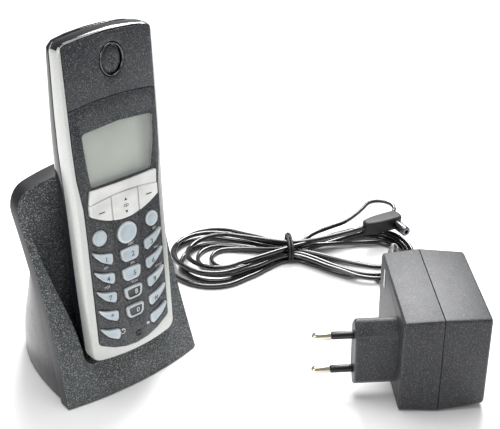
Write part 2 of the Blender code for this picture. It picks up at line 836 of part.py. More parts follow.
SOFT_EDGES = ((-17.1, -6.75), (-6.35, 6.95), (7.35, 17.2))
for name, (left, right) in zip(("soft_key_left", "navigation_key", "soft_key_right"), SOFT_EDGES):
    columns = [left + (right - left) * index / 8 for index in range(9)]
    lower = [(x, soft_bottom(x)) for x in columns]
    upper = [(x, soft_top(x)) for x in reversed(columns)]
    key(name, lower + upper, -0.2, PEARL)

ROUND_KEYS = (
    ("round_key_left", (-13.5, 80.8), 3.4, 3.7),
    ("round_key_centre", (0.0, 78.9), 5.0, 5.2),
    ("round_key_right", (13.4, 80.8), 3.2, 3.7),
)
holes = []
for name, centre, half_width, half_height in ROUND_KEYS:
    outline = ellipse(centre, half_width, half_height)
    key(name, outline, 0.8 * (centre[0] / KEYPAD_HALF_WIDTH) ** 2, ICE_BLUE)
    holes.append((name, grown(outline, KEY_CLEARANCE)))

SIDE_KEY = ((-4.9, 4.9), (-1.0, 2.9), (4.9, 1.4), (4.7, -2.6), (3.6, -3.8), (-1.1, -0.9), (-3.9, 2.4))
MIDDLE_KEY = ((-4.6, 2.9), (0.2, 3.2), (5.0, 2.8), (4.5, -1.9), (3.1, -3.2), (-2.6, -3.2), (-4.0, -1.9))
KEY_ROWS = (
    ("key_1", "key_2", "key_3"),
    ("key_4", "key_5", "key_6"),
    ("key_7", "key_8", "key_9"),
    ("key_star", "key_0", "key_hash"),
    ("key_power", None, "key_lock"),
)
for row, labels in enumerate(KEY_ROWS):
    level = FIRST_ROW - ROW_PITCH * row
    for side, label in zip((-1, 0, 1), labels):
        if label is None:
            continue
        if side == 0:
            corners = [(x, z + level - 1.9) for x, z in MIDDLE_KEY]
        else:
            corners = [(side * (COLUMN_PITCH - x), z + level) for x, z in SIDE_KEY]
        outline = rounded(corners, 1.1, 3)
        key(label, outline, 0.6 * abs(side) - 0.4, ICE_BLUE)
        holes.append((label, grown(outline, KEY_CLEARANCE)))

for name, outline in holes:
    combine(panel, cutter(f"{name}_hole", prism(outline, -6, 12), handset), "DIFFERENCE")
mic_hole = rod((MIC_AT[0], -6, MIC_AT[1]), (MIC_AT[0], 12, MIC_AT[1]), MIC_RADIUS)
combine(panel, cutter("mic_hole", mic_hole, handset), "DIFFERENCE")


# Earpiece: a bright ring round a dished disc with four sound holes

def ear_ellipse(half, shrink, depth):
    return [(x, depth, z) for x, z in ellipse(EAR, half[0] - shrink, half[1] - shrink, 36)]


ear_hole = loft([ear_ellipse(EAR_HOLE, 0.0, -6.0), ear_ellipse(EAR_HOLE, 0.0, 12.0)])
combine(head, cutter("ear_hole", ear_hole, handset), "DIFFERENCE")
RING_LINE = ((0.0, 2.6), (0.0, 0.5), (0.35, 0.15), (0.8, 0.5), (0.9, 1.2), (1.0, 2.6))
bezel = loft([ear_ellipse(EAR_RING, inset, depth) for inset, depth in RING_LINE], closed=True)
piece("earpiece_ring", bezel, CHROME, handset)
DISC_LINE = ((0.0, 2.4), (0.0, 1.3), (0.9, 1.0), (2.4, 0.75), (3.8, 0.7))
disc = loft([ear_ellipse(EAR_DISC, inset, depth) for inset, depth in DISC_LINE])
ear_disc = piece("earpiece_grille", disc, GLOSS_CHARCOAL, handset)
SOUND_HOLES = {"left": (-1.2, 0.0), "right": (1.2, 0.0), "upper": (0.0, 1.6), "lower": (0.0, -1.6)}
for label, (x, z) in SOUND_HOLES.items():
    hole = rod((EAR[0] + x, -3, EAR[1] + z), (EAR[0] + x, 6, EAR[1] + z), 0.3, None, 10)
    combine(ear_disc, cutter(f"ear_sound_{label}", hole, handset), "DIFFERENCE")

# Inside the handset
speaker = turned([(6.2, 3.0), (6.2, 5.6), (4.6, 6.8)], 28, "Y", (EAR[0], 0, EAR[1] - 0.4))
piece("earpiece_speaker", speaker, STEEL, handset)
piece("keypad_mat", box(*KEYPAD_MAT), RUBBER, handset)
piece("main_circuit_board", box(*MAIN_BOARD), BOARD, handset)

# Battery pack: two cells under one wrap
CELL_LINE = ((0.9, 41.2), (1.9, 41.4), (CELL_RADIUS, 42.0), (CELL_RADIUS, 85.2), (4.6, 85.8))
left_cell = turned(CELL_LINE, 22, "Z", (-CELL_SPACING / 2, CELL_DEPTH, 0))
right_cell = turned(CELL_LINE, 22, "Z", (CELL_SPACING / 2, CELL_DEPTH, 0))
wrap = box((-3.0, CELL_DEPTH - 3.4, 46.0), (3.0, CELL_DEPTH + 3.4, 82.0))
pack = piece("battery_pack", left_cell, CELL_GREEN, handset)
combine(pack, cutter("second_cell", right_cell, handset), "UNION")
combine(pack, cutter("pack_wrap", wrap, handset), "UNION")

# Charging pads in the handset's foot, each in its own opening in the rear shell
for name, x in (("charge_pad_left", -CONTACT_X), ("charge_pad_right", CONTACT_X)):
    pad_low = HANDSET_BOTTOM + GAP
    pad = box(
        (x - PAD_HALF_WIDTH, PAD_Y - PAD_HALF_DEPTH, pad_low),
        (x + PAD_HALF_WIDTH, PAD_Y + PAD_HALF_DEPTH, pad_low + PAD_TALL),
    )
    room = box(
        (x - PAD_HALF_WIDTH - GAP, PAD_Y - PAD_HALF_DEPTH - GAP, pad_low - 4.0),
        (x + PAD_HALF_WIDTH + GAP, PAD_Y + PAD_HALF_DEPTH + GAP, pad_low + PAD_TALL + GAP),
    )
    combine(back, cutter(f"{name}_room", room, handset), "DIFFERENCE")
    piece(name, pad, CHROME, handset)


# Mains adapter

adapter = frame("adapter_frame", ADAPTER_AT, (0, ADAPTER_TILT, ADAPTER_TURN), site)


def case_ring(x, low_inset, high_inset, near_inset, far_inset, radius=1.8):
    corners = [
        (near_inset, low_inset),
        (ADAPTER_LONG - far_inset, low_inset),
        (ADAPTER_LONG - far_inset, ADAPTER_TALL - high_inset),
        (near_inset, ADAPTER_TALL - high_inset),
    ]
    return [(x, y, z) for y, z in rounded(corners, radius, 3)]


def half_case(seam, end, draft):
    """One half of the case, tapering from the seam to its end, with a rounded end edge."""
    direction = 1 if end > seam else -1
    rings = [
        case_ring(seam, 0, 0, 0, 0),
        case_ring(end - direction * 0.9, *[value * 0.95 for value in draft]),
        case_ring(end, *[value + 0.7 for value in draft]),
    ]
    return loft(rings)


def half_hollow(seam, end, draft):
    direction = 1 if end > seam else -1
    wall = ADAPTER_WALL
    rings = [
        case_ring(seam - direction * 3.0, wall, wall, wall, wall, 1.2),
        case_ring(end - direction * wall, *[value + wall for value in draft], 1.2),
    ]
    return loft(rings)


SEAM = GAP / 2
front_case = piece("adapter_front_case", half_case(-SEAM, -FRONT_HALF, FRONT_DRAFT), ADAPTER_GREY, adapter)
rear_case = piece("adapter_rear_case", half_case(SEAM, REAR_HALF, REAR_DRAFT), ADAPTER_GREY, adapter)
# The plug block is an elongated hexagon in section
PLUG_SECTION = (
    (-PLUG_WIDTH / 2, PLUG_BEVEL - PLUG_HEIGHT / 2),
    (-PLUG_PEAK, -PLUG_HEIGHT / 2),
    (PLUG_PEAK, -PLUG_HEIGHT / 2),
    (PLUG_WIDTH / 2, PLUG_BEVEL - PLUG_HEIGHT / 2),
    (PLUG_WIDTH / 2, PLUG_HEIGHT / 2 - PLUG_BEVEL),
    (PLUG_PEAK, PLUG_HEIGHT / 2),
    (-PLUG_PEAK, PLUG_HEIGHT / 2),
    (-PLUG_WIDTH / 2, PLUG_HEIGHT / 2 - PLUG_BEVEL),
)
plug_outline = rounded([(PLUG_ACROSS + y, PLUG_UP + z) for y, z in PLUG_SECTION], 1.8, 3)
PLUG_FACE = -FRONT_HALF - PLUG_REACH
plug_rings = [
    [(-FRONT_HALF + 1.4, y, z) for y, z in plug_outline],
    [(PLUG_FACE + 0.6, y, z) for y, z in plug_outline],
    [(PLUG_FACE, y, z) for y, z in grown(plug_outline, -0.6)],
]
front_hollow = half_hollow(-SEAM, -FRONT_HALF, FRONT_DRAFT)
rear_hollow = half_hollow(SEAM, REAR_HALF, REAR_DRAFT)
combine(front_case, cutter("plug_block", loft(plug_rings), adapter), "UNION")
combine(front_case, cutter("front_hollow", front_hollow, adapter), "DIFFERENCE")
combine(rear_case, cutter("rear_hollow", rear_hollow, adapter), "DIFFERENCE")


# Two round pins, each with an insulating sleeve over its inner half

def tube_ring(centre, radius, along, sides=20):
    ring = []
    for index in range(sides):
        angle = 2 * math.pi * index / sides
        ring.append((along, centre[1] + radius * math.cos(angle), centre[2] + radius * math.sin(angle)))
    return ring


PIN_ROOT = PLUG_FACE + 8.5
SLEEVE_ROOT = PLUG_FACE + 8.0
SLEEVE_END = PLUG_FACE - (PIN_LENGTH - PIN_TIP)
PIN_END = PLUG_FACE - PIN_LENGTH
PIN_LINE = (
    (PIN_CORE, PIN_ROOT),
    (PIN_CORE, SLEEVE_END - GAP),
    (PIN_RADIUS, SLEEVE_END - GAP - 0.05),
    (PIN_RADIUS, PIN_END + 2.0),
    (PIN_RADIUS - 0.5, PIN_END + 0.6),
    (PIN_RADIUS - 1.4, PIN_END),
)
SLEEVE_LINE = (
    (SLEEVE_RADIUS, SLEEVE_ROOT),
    (SLEEVE_RADIUS, SLEEVE_END),
    (SLEEVE_BORE, SLEEVE_END),
    (SLEEVE_BORE, SLEEVE_ROOT),
)
for name, rise in (("upper", PIN_SPACING / 2), ("lower", -PIN_SPACING / 2)):
    centre = (0, PLUG_ACROSS, PLUG_UP + rise)
    bore = rod((PLUG_FACE - 5, *centre[1:]), (PLUG_FACE + 9, *centre[1:]), PIN_BORE)
    combine(front_case, cutter(f"pin_bore_{name}", bore, adapter), "DIFFERENCE")
    piece(f"pin_{name}", turned(PIN_LINE, 20, "X", centre), BRASS, adapter)
    sleeve = loft([tube_ring(centre, radius, along) for radius, along in SLEEVE_LINE], closed=True)
    piece(f"pin_sleeve_{name}", sleeve, SMOOTH_BLACK, adapter)

transformer = piece("transformer_core", box(*CORE), STEEL, adapter)
combine(transformer, cutter("core_window", box(*CORE_WINDOW), adapter), "DIFFERENCE")
piece("transformer_winding", box(*WINDING), COPPER, adapter)

# Strain relief where the lead leaves the far side
far_face = ADAPTER_LONG + 0.1
RELIEF_LINE = (
    (3.1, far_face),
    (2.9, far_face + 1.6),
    (2.3, far_face + 3.0),
    (1.9, far_face + RELIEF_LENGTH),
)
piece("strain_relief", turned(RELIEF_LINE, 20, "Y", (RELIEF_X, 0, RELIEF_Z)), RUBBER, adapter)


# Lead: straight run, hank held by its tie, and the right-angle plug

def in_site(point):
    turn = Matrix.Rotation(ADAPTER_TURN, 3, "Z") @ Matrix.Rotation(ADAPTER_TILT, 3, "Y")
    return Vector(ADAPTER_AT) + turn @ Vector(point)


def smooth_route(points, step):
    """Even points along a Catmull-Rom curve through the route."""
    knots = [Vector(point) for point in points]
    dense = []
    for index in range(len(knots) - 1):
        before = knots[max(index - 1, 0)]
        start = knots[index]
        end = knots[index + 1]
        after = knots[min(index + 2, len(knots) - 1)]
        for part in range(40):
            t = part / 40
            linear = (end - before) * t
            square = (2 * before - 5 * start + 4 * end - after) * t ** 2
            cube = (3 * start - before - 3 * end + after) * t ** 3
            dense.append((2 * start + linear + square + cube) / 2)
    dense.append(knots[-1])
    even = [dense[0]]
    travelled = 0.0
    for first, second in zip(dense, dense[1:]):
        travelled += (second - first).length
        if travelled >= step:
            even.append(second)
            travelled = 0.0
    if (even[-1] - dense[-1]).length < step / 2:
        even.pop()
    even.append(dense[-1])
    return even


def cord(name, route):
    """A round flexible lead along a route in the site's millimetres."""
    curve = bpy.data.curves.new(name, "CURVE")
    curve.dimensions = "3D"
    curve.bevel_depth = CORD_RADIUS * MM
    curve.bevel_resolution = 2
    curve.use_fill_caps = True
    points = smooth_route(route, 6.0)
    spline = curve.splines.new("POLY")
    spline.points.add(len(points) - 1)
    for node, point in zip(spline.points, points):
        node.co = (*[value * MM for value in point], 1.0)
    curve.materials.append(CORD_BLACK)
    obj = bpy.data.objects.new(name, curve)
    bpy.context.scene.collection.objects.link(obj)
    obj.parent = site
    return obj


relief_end = in_site((RELIEF_X, far_face + RELIEF_LENGTH + GAP, RELIEF_Z))
leaving = (relief_end - in_site((RELIEF_X, far_face, RELIEF_Z))).normalized()
# How far out from the strain relief the lead is, and how high, as it falls to the desk
DROP = ((4.0, 38.4), (10.0, 34.8), (15.0, 25.5), (18.0, 14.5), (22.2, 6.3), (27.4, 3.8))
adapter_run = [relief_end]
for reach, level in DROP:
    spot = relief_end + leaving * reach
    adapter_run.append(Vector((spot.x, spot.y, level)))
cord("cord_adapter_run", adapter_run)

# The coiled length, as one solid shaped like a figure of eight on the desk
heading = math.degrees(math.atan2(HANK_RIGHT[1] - HANK_LEFT[1], HANK_RIGHT[0] - HANK_LEFT[0]))
waist = Vector(HANK_TIE)
side = Vector((math.cos(math.radians(heading + 90)), math.sin(math.radians(heading + 90))))
along = Vector((-side.y, side.x))
hank_outline = arc(HANK_LEFT, HANK_LEFT_RADIUS, heading + 52, heading + 308, 26)
hank_outline.append(tuple(waist - side * HANK_WAIST))
hank_outline += arc(HANK_RIGHT, HANK_RIGHT_RADIUS, heading - 128, heading + 128, 26)
hank_outline.append(tuple(waist + side * HANK_WAIST))
hank_edge = (
    (HANK_EDGE, DESK_GAP),
    (0.0, DESK_GAP + HANK_EDGE),
    (0.0, HANK_HEIGHT - HANK_EDGE),
    (HANK_EDGE, HANK_HEIGHT),
)
hank_rings = []
for inset, z in hank_edge:
    hank_rings.append([(x, y, z) for x, y in grown(hank_outline, -inset)])
piece("cord_hank", loft(hank_rings), CORD_BLACK, site)


def tie_arch(half, rise):
    """An arch over the hank, from the desk up one side and down the other."""
    points = [(half, DESK_GAP)]
    for degrees in range(15, 180, 15):
        angle = math.radians(degrees)
        across = math.copysign(abs(math.cos(angle)) ** 0.6, math.cos(angle))
        points.append((half * across, DESK_GAP + rise * math.sin(angle) ** 0.6))
    points.append((-half, DESK_GAP))
    return points


tie_section = tie_arch(TIE_HALF + TIE_BAND, HANK_HEIGHT + TIE_RISE + TIE_BAND)
tie_section += reversed(tie_arch(TIE_HALF, HANK_HEIGHT + TIE_RISE))
tie_rings = []
for offset in (-TIE_WIDTH / 2, TIE_WIDTH / 2):
    centre = waist + along * offset
    tie_rings.append([(centre.x + side.x * x, centre.y + side.y * x, z) for x, z in tie_section])
piece("cord_tie", loft(tie_rings), RUBBER, site)

# Right-angle plug at the lead's free end
plug_frame = frame("plug_frame", PLUG_ORIGIN, (0, 0, PLUG_HEADING), site)
PLUG_PLAN = (
    (0.0, -2.6),
    (8.0, -4.4),
    (PLUG_BODY, -4.6),
    (PLUG_BODY, 4.6),
    (8.0, 4.4),
    (0.0, 2.6),
)
plug_points = rounded(PLUG_PLAN, 4.5, 5)
plug_body_rings = []
for inset, z in ((0.8, -3.9), (0.0, -3.1), (0.0, 3.1), (0.8, 3.9)):
    plug_body_rings.append([(x, y, z) for x, y in grown(plug_points, -inset)])
piece("dc_plug_body", loft(plug_body_rings), RUBBER, plug_frame)
BARREL_LINE = ((2.2, -4.9), (BARREL_RADIUS, -5.2), (BARREL_RADIUS, -13.8), (2.4, -14.4))
barrel = piece("dc_plug_barrel", turned(BARREL_LINE, 20, "Y", (BARREL_AT, 0, 0)), CHROME, plug_frame)
barrel_bore = rod((BARREL_AT, -8, 0), (BARREL_AT, -20, 0), BARREL_BORE, None, 16)
combine(barrel, cutter("barrel_bore", barrel_bore, plug_frame), "DIFFERENCE")

back_along = Vector((-math.cos(PLUG_HEADING), -math.sin(PLUG_HEADING), 0))
# How far back from the plug the lead is, and its offset from that line, as it joins the hank
TAIL = ((GAP, (0, 0, 0)), (6.0, (0, 0, 0.2)), (16.0, (0, 2.0, -1.0)), (27.0, (0, 6.0, -2.3)))
plug_run = [Vector(PLUG_ORIGIN) + back_along * reach + Vector(offset) for reach, offset in TAIL]
cord("cord_plug_run", plug_run)
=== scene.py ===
"""Looks of a cordless telephone: the handset in its charging cradle, the mains adapter and its tied lead.

Every size below is in metres. The handset and the adapter are each built upright in their own frame and then
put in their place, so that a finished piece's place is in its mesh.
"""

import math

import bpy
from mathutils import Matrix, Vector


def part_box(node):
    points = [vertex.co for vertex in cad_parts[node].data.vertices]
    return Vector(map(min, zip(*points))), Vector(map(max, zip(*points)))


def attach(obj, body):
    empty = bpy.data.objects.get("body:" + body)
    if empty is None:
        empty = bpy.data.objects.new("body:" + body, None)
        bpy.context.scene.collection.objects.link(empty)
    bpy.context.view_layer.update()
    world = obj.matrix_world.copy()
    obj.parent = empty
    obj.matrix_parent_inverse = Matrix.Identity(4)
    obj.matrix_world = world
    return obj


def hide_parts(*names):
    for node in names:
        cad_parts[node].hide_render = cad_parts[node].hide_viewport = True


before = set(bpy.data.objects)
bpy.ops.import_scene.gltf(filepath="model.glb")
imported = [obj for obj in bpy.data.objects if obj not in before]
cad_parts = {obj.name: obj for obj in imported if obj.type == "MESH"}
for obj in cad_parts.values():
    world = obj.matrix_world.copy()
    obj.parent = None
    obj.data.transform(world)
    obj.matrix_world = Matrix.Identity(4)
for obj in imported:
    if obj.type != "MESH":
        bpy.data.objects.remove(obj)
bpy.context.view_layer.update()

MM = 0.001
SITE_Y = -0.032
# The frames of the leaning handset, the adapter and the lead's plug, and the way the slanting faces look
HANDSET = Matrix.Translation((0.0, SITE_Y - 0.0056, 0.0)) @ Matrix.Rotation(math.radians(-4.3), 4, "X")
ADAPTER_AT = Vector((0.0893, -0.1068 + SITE_Y, 0.00005))
ADAPTER = (
    Matrix.Translation(ADAPTER_AT)
    @ Matrix.Rotation(math.radians(-38.2), 4, "Z")
    @ Matrix.Rotation(math.radians(-2.0), 4, "Y")
)
PLUG = Matrix.Translation((0.166, 0.011 + SITE_Y, 0.0126)) @ Matrix.Rotation(math.radians(-13.0), 4, "Z")
FACING = HANDSET.to_3x3() @ Vector((0.0, -1.0, 0.0))
PLATE_FACING = Vector((0.0, -math.cos(math.radians(19.0)), math.sin(math.radians(19.0))))
CORD_DIAMETER = 0.0025
WELD_WITHIN = 0.00001


# Working on one object at a time

def only(obj):
    bpy.ops.object.select_all(action="DESELECT")
    obj.select_set(True)
    bpy.context.view_layer.objects.active = obj


def select_faces(obj, wanted):
    """Leaves the object in edit mode with just the wanted faces selected."""
    only(obj)
    bpy.ops.object.mode_set(mode="EDIT")
    bpy.ops.mesh.select_mode(type="FACE")
    bpy.ops.mesh.select_all(action="DESELECT")
    bpy.ops.object.mode_set(mode="OBJECT")
    for polygon in obj.data.polygons:
        polygon.select = wanted(polygon)
    bpy.ops.object.mode_set(mode="EDIT")


def leave_edit():
    bpy.ops.object.mode_set(mode="OBJECT")


def soften(obj, width, segments=3, angle=35.0):
    """Rounds the sharp edges as a mould tool's radius would, and shades the rest smooth."""
    only(obj)
    bevel = obj.modifiers.new("edge_radius", "BEVEL")
    bevel.width = width
    bevel.segments = segments
    bevel.limit_method = "ANGLE"
    bevel.angle_limit = math.radians(angle)
    bevel.use_clamp_overlap = True
    bpy.ops.object.modifier_apply(modifier=bevel.name)
    bpy.ops.object.shade_smooth_by_angle(angle=math.radians(40))


def linked(name, data):
    obj = bpy.data.objects.new(name, data)
    bpy.context.scene.collection.objects.link(obj)
    return obj


def taken_from(node, name, dissolve=0.4):
    """A merged copy of a frame piece, ready to be finished in more detail."""
    obj = linked(name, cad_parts[node].data.copy())
    only(obj)
    bpy.ops.object.mode_set(mode="EDIT")
    bpy.ops.mesh.select_all(action="SELECT")
    bpy.ops.mesh.remove_doubles(threshold=WELD_WITHIN)
    bpy.ops.mesh.dissolve_limited(angle_limit=math.radians(dissolve))
    bpy.ops.object.mode_set(mode="OBJECT")
    return obj


def settle(obj, place):
    """Turns and moves a piece from its own upright frame into its place, and keeps that place in its mesh."""
    only(obj)
    obj.matrix_world = place @ obj.matrix_world
    bpy.ops.object.transform_apply(location=True, rotation=True, scale=True)
    return obj


def finish_piece(obj, body, materials, nodes=()):
    obj.data.materials.clear()
    for made in materials:
        obj.data.materials.append(made)
    if nodes:
        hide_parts(*nodes)
    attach(obj, body)


def centre_of(node, place):
    low, high = (Vector(corner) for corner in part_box(node))
    return place.inverted() @ ((low + high) / 2)


# Materials

class Surface:
    """A node material on Object coordinates, with helpers for the patterns that a part's finish shows."""

    def __init__(self, name, roughness, metallic=0.0, coat=0.0, coat_roughness=0.05, alpha=1.0, ior=1.5):
        self.material = bpy.data.materials.new(name)
        self.material.use_nodes = True
        self.nodes = self.material.node_tree.nodes
        self.links = self.material.node_tree.links
        self.shader = self.nodes["Principled BSDF"]
        self.shader.inputs["Roughness"].default_value = roughness
        self.shader.inputs["Metallic"].default_value = metallic
        self.shader.inputs["Coat Weight"].default_value = coat
        self.shader.inputs["Coat Roughness"].default_value = coat_roughness
        self.shader.inputs["Alpha"].default_value = alpha
        self.shader.inputs["IOR"].default_value = ior
        self.place = self.nodes.new("ShaderNodeTexCoord").outputs["Object"]

    def noise(self, scale, detail=3.0, roughness=0.55, stretch=None):
        node = self.nodes.new("ShaderNodeTexNoise")
        node.inputs["Scale"].default_value = scale
        node.inputs["Detail"].default_value = detail
        node.inputs["Roughness"].default_value = roughness
        source = self.place
        if stretch:
            mapping = self.nodes.new("ShaderNodeMapping")
            mapping.inputs["Scale"].default_value = stretch
            self.links.new(self.place, mapping.inputs["Vector"])
            source = mapping.outputs["Vector"]
        self.links.new(source, node.inputs["Vector"])
        return node.outputs["Fac"]

    def ramp(self, source, stops):
        node = self.nodes.new("ShaderNodeValToRGB")
        node.color_ramp.interpolation = "EASE"
        while len(node.color_ramp.elements) < len(stops):
            node.color_ramp.elements.new(0.5)
        for element, (position, colour) in zip(node.color_ramp.elements, stops):
            element.position = position
            element.color = (*colour, 1.0)
        self.links.new(source, node.inputs["Fac"])
        return node.outputs["Color"]

    def mix(self, factor, first, second):
        node = self.nodes.new("ShaderNodeMix")
        node.data_type = "RGBA"
        for label, value in (("Factor", factor), ("A", first), ("B", second)):
            socket = node.inputs[label]
            if isinstance(value, bpy.types.NodeSocket):
                self.links.new(value, socket)
            elif isinstance(value, (int, float)):
                socket.default_value = value
            else:
                socket.default_value = (*value, 1.0)
        return node.outputs["Result"]

    def grey(self, source, low, high):
        """Stretches a 0 to 1 pattern to run from low to high."""
        node = self.nodes.new("ShaderNodeMapRange")
        node.inputs["To Min"].default_value = low
        node.inputs["To Max"].default_value = high
        self.links.new(source, node.inputs["Value"])
        return node.outputs["Result"]

    def colour(self, source):
        self.links.new(source, self.shader.inputs["Base Color"])

    def rough(self, source):
        self.links.new(source, self.shader.inputs["Roughness"])

    def bump(self, source, strength, distance=0.0002):
        node = self.nodes.new("ShaderNodeBump")
        node.inputs["Strength"].default_value = strength
        node.inputs["Distance"].default_value = distance
        self.links.new(source, node.inputs["Height"])
        self.links.new(node.outputs["Normal"], self.shader.inputs["Normal"])


def shaded(colour, amount):
    return tuple(min(channel * amount, 1.0) for channel in colour)


def moulded(name, colour, roughness, texture, texture_strength, fleck=0.0, coat=0.0, marks=0.06, wear=0.0):
    """Moulded plastic: slight clouding, mould texture, light flecks, handling marks and paler edges."""
    made = Surface(name, roughness, coat=coat, coat_roughness=0.12)
    cloud = made.noise(55.0)
    tone = made.ramp(cloud, ((0.3, shaded(colour, 0.88)), (0.7, shaded(colour, 1.14))))
    if fleck:
        grain = made.noise(texture, detail=1.0)
        flecks = made.ramp(grain, ((0.52, (0.0, 0.0, 0.0)), (0.70, (1.0, 1.0, 1.0))))
        tone = made.mix(flecks, tone, tuple(min(channel * 1.6 + fleck, 1.0) for channel in colour))
    if wear:
        edges = made.nodes.new("ShaderNodeNewGeometry").outputs["Pointiness"]
        rubbed = made.ramp(edges, ((0.53, (0.0, 0.0, 0.0)), (0.62, (wear, wear, wear))))
        tone = made.mix(rubbed, tone, tuple(min(channel * 2.2 + 0.06, 1.0) for channel in colour))
    made.colour(tone)
    handled = made.noise(140.0, detail=5.0, roughness=0.7)
    made.rough(made.grey(handled, max(roughness - marks, 0.02), roughness + marks))
    made.bump(made.noise(texture, detail=2.0), texture_strength, 0.00008)
    return made.material


def painted_silver():
    """Silver lacquer over plastic, with fine metal flake and a few rubbed patches."""
    colour = (0.60, 0.61, 0.59)
    made = Surface("silver_lacquer", 0.34, metallic=0.45, coat=0.25, coat_roughness=0.15)
    flake = made.noise(5200.0, detail=1.0)
    tone = made.ramp(flake, ((0.35, shaded(colour, 0.86)), (0.65, shaded(colour, 1.12))))
    rubbing = made.noise(48.0, detail=6.0, roughness=0.75)
    rubbed = made.ramp(rubbing, ((0.62, (0.0, 0.0, 0.0)), (0.74, (0.55, 0.55, 0.55))))
    made.colour(made.mix(rubbed, tone, shaded(colour, 0.72)))
    made.rough(made.grey(rubbing, 0.26, 0.46))
    made.bump(flake, 0.05, 0.00003)
    return made.material


def plated(name, colour, roughness, brush=(1.0, 1.0, 1.0)):
    """Bright plated metal with faint polishing lines and dull spots."""
    made = Surface(name, roughness, metallic=1.0)
    lines = made.noise(900.0, detail=4.0, stretch=brush)
    made.colour(made.ramp(lines, ((0.3, shaded(colour, 0.85)), (0.7, shaded(colour, 1.08)))))
    made.rough(made.grey(made.noise(220.0, detail=5.0), roughness * 0.7, roughness * 1.5))
    made.bump(lines, 0.06, 0.00002)
    return made.material


def ridged(name, colours, roughness, metallic, pitch, turn):
    """Thin layers side by side, such as iron laminations or wire turns."""
    made = Surface(name, roughness, metallic=metallic)
    mapping = made.nodes.new("ShaderNodeMapping")
    mapping.inputs["Rotation"].default_value = turn
    made.links.new(made.place, mapping.inputs["Vector"])
    wave = made.nodes.new("ShaderNodeTexWave")
    wave.inputs["Scale"].default_value = 1.0 / pitch / math.tau * 3.0
    wave.inputs["Distortion"].default_value = 0.4
    made.links.new(mapping.outputs["Vector"], wave.inputs["Vector"])
    made.colour(made.ramp(wave.outputs["Fac"], ((0.2, colours[0]), (0.8, colours[1]))))
    made.rough(made.grey(made.noise(300.0), roughness - 0.08, roughness + 0.08))
    made.bump(wave.outputs["Fac"], 0.4, 0.0001)
    return made.material


def circuit_board():
    made = Surface("solder_mask", 0.4, coat=0.3)
    brick = made.nodes.new("ShaderNodeTexBrick")
    brick.inputs["Scale"].default_value = 160.0
    brick.inputs["Mortar Size"].default_value = 0.03
    brick.inputs["Color1"].default_value = (0.02, 0.13, 0.05, 1.0)
    brick.inputs["Color2"].default_value = (0.03, 0.17, 0.07, 1.0)
    brick.inputs["Mortar"].default_value = (0.09, 0.3, 0.12, 1.0)
    made.links.new(made.place, brick.inputs["Vector"])
    made.colour(made.mix(made.noise(700.0), brick.outputs["Color"], (0.02, 0.1, 0.04)))
    made.rough(made.grey(made.noise(400.0), 0.3, 0.5))
    made.bump(brick.outputs["Fac"], 0.3, 0.00005)
    return made.material


def display_film():
    """Grey-green reflective display film, made a little darker to one side by a painted shadow from its
    cover.
    """
    made = Surface("display_film", 0.42)
    axes = made.nodes.new("ShaderNodeSeparateXYZ")
    made.links.new(made.place, axes.inputs["Vector"])
    # Painted shadow: from x 10.2 mm to 15 mm the film's colour is mixed towards a darker grey-green, standing
    # in for the shade along that side.
    across = made.nodes.new("ShaderNodeMapRange")
    across.inputs["From Min"].default_value = 0.0102
    across.inputs["From Max"].default_value = 0.0150
    made.links.new(axes.outputs["X"], across.inputs["Value"])
    base = made.ramp(made.noise(60.0), ((0.3, (0.52, 0.57, 0.49)), (0.7, (0.58, 0.62, 0.54))))
    made.colour(made.mix(across.outputs["Result"], base, (0.33, 0.36, 0.31)))
    made.rough(made.grey(made.noise(900.0), 0.36, 0.5))
    made.bump(made.noise(3000.0), 0.05, 0.00002)
    return made.material


def clear_cover():
    made = Surface("clear_cover", 0.05, alpha=0.16, ior=1.49)
    scuffs_and_glare = made.noise(180.0, detail=6.0, roughness=0.8, stretch=(1.0, 1.0, 3.0))
    # Painted reflection: the cover's colour runs from pale grey to white, a whitish veil standing in for the
    # glare on the clear cover, with the whitest spots following the scuffs.
    made.colour(made.ramp(scuffs_and_glare, ((0.4, (0.86, 0.89, 0.88)), (0.75, (1.0, 1.0, 1.0)))))
    made.rough(made.grey(scuffs_and_glare, 0.03, 0.14))
    made.bump(made.noise(1400.0), 0.02, 0.00002)
    return made.material


def ice_key():
    """Pale blue key caps: milky plastic that glows a little where light enters it."""
    made = Surface("ice_blue_cap", 0.22, coat=0.5, coat_roughness=0.08)
    made.shader.inputs["Subsurface Weight"].default_value = 0.25
    made.shader.inputs["Subsurface Scale"].default_value = 0.001
    tone = made.ramp(made.noise(260.0), ((0.3, (0.50, 0.60, 0.66)), (0.7, (0.58, 0.68, 0.74))))
    made.colour(tone)
    made.rough(made.grey(made.noise(500.0), 0.16, 0.3))
    made.bump(made.noise(1500.0), 0.04, 0.00003)
    return made.material


def printed(name, colour):
    made = Surface(name, 0.45)
    made.colour(made.ramp(made.noise(2500.0), ((0.3, shaded(colour, 0.85)), (0.7, shaded(colour, 1.1)))))
    made.rough(made.grey(made.noise(1500.0), 0.38, 0.52))
    made.bump(made.noise(2500.0), 0.03, 0.00002)
    return made.material


def pale_floor():
    made = Surface("pale_paper", 0.7)
    made.colour(made.ramp(made.noise(9.0), ((0.3, (0.86, 0.86, 0.86)), (0.7, (0.89, 0.89, 0.89)))))
    made.rough(made.grey(made.noise(30.0), 0.6, 0.8))
    return made.material


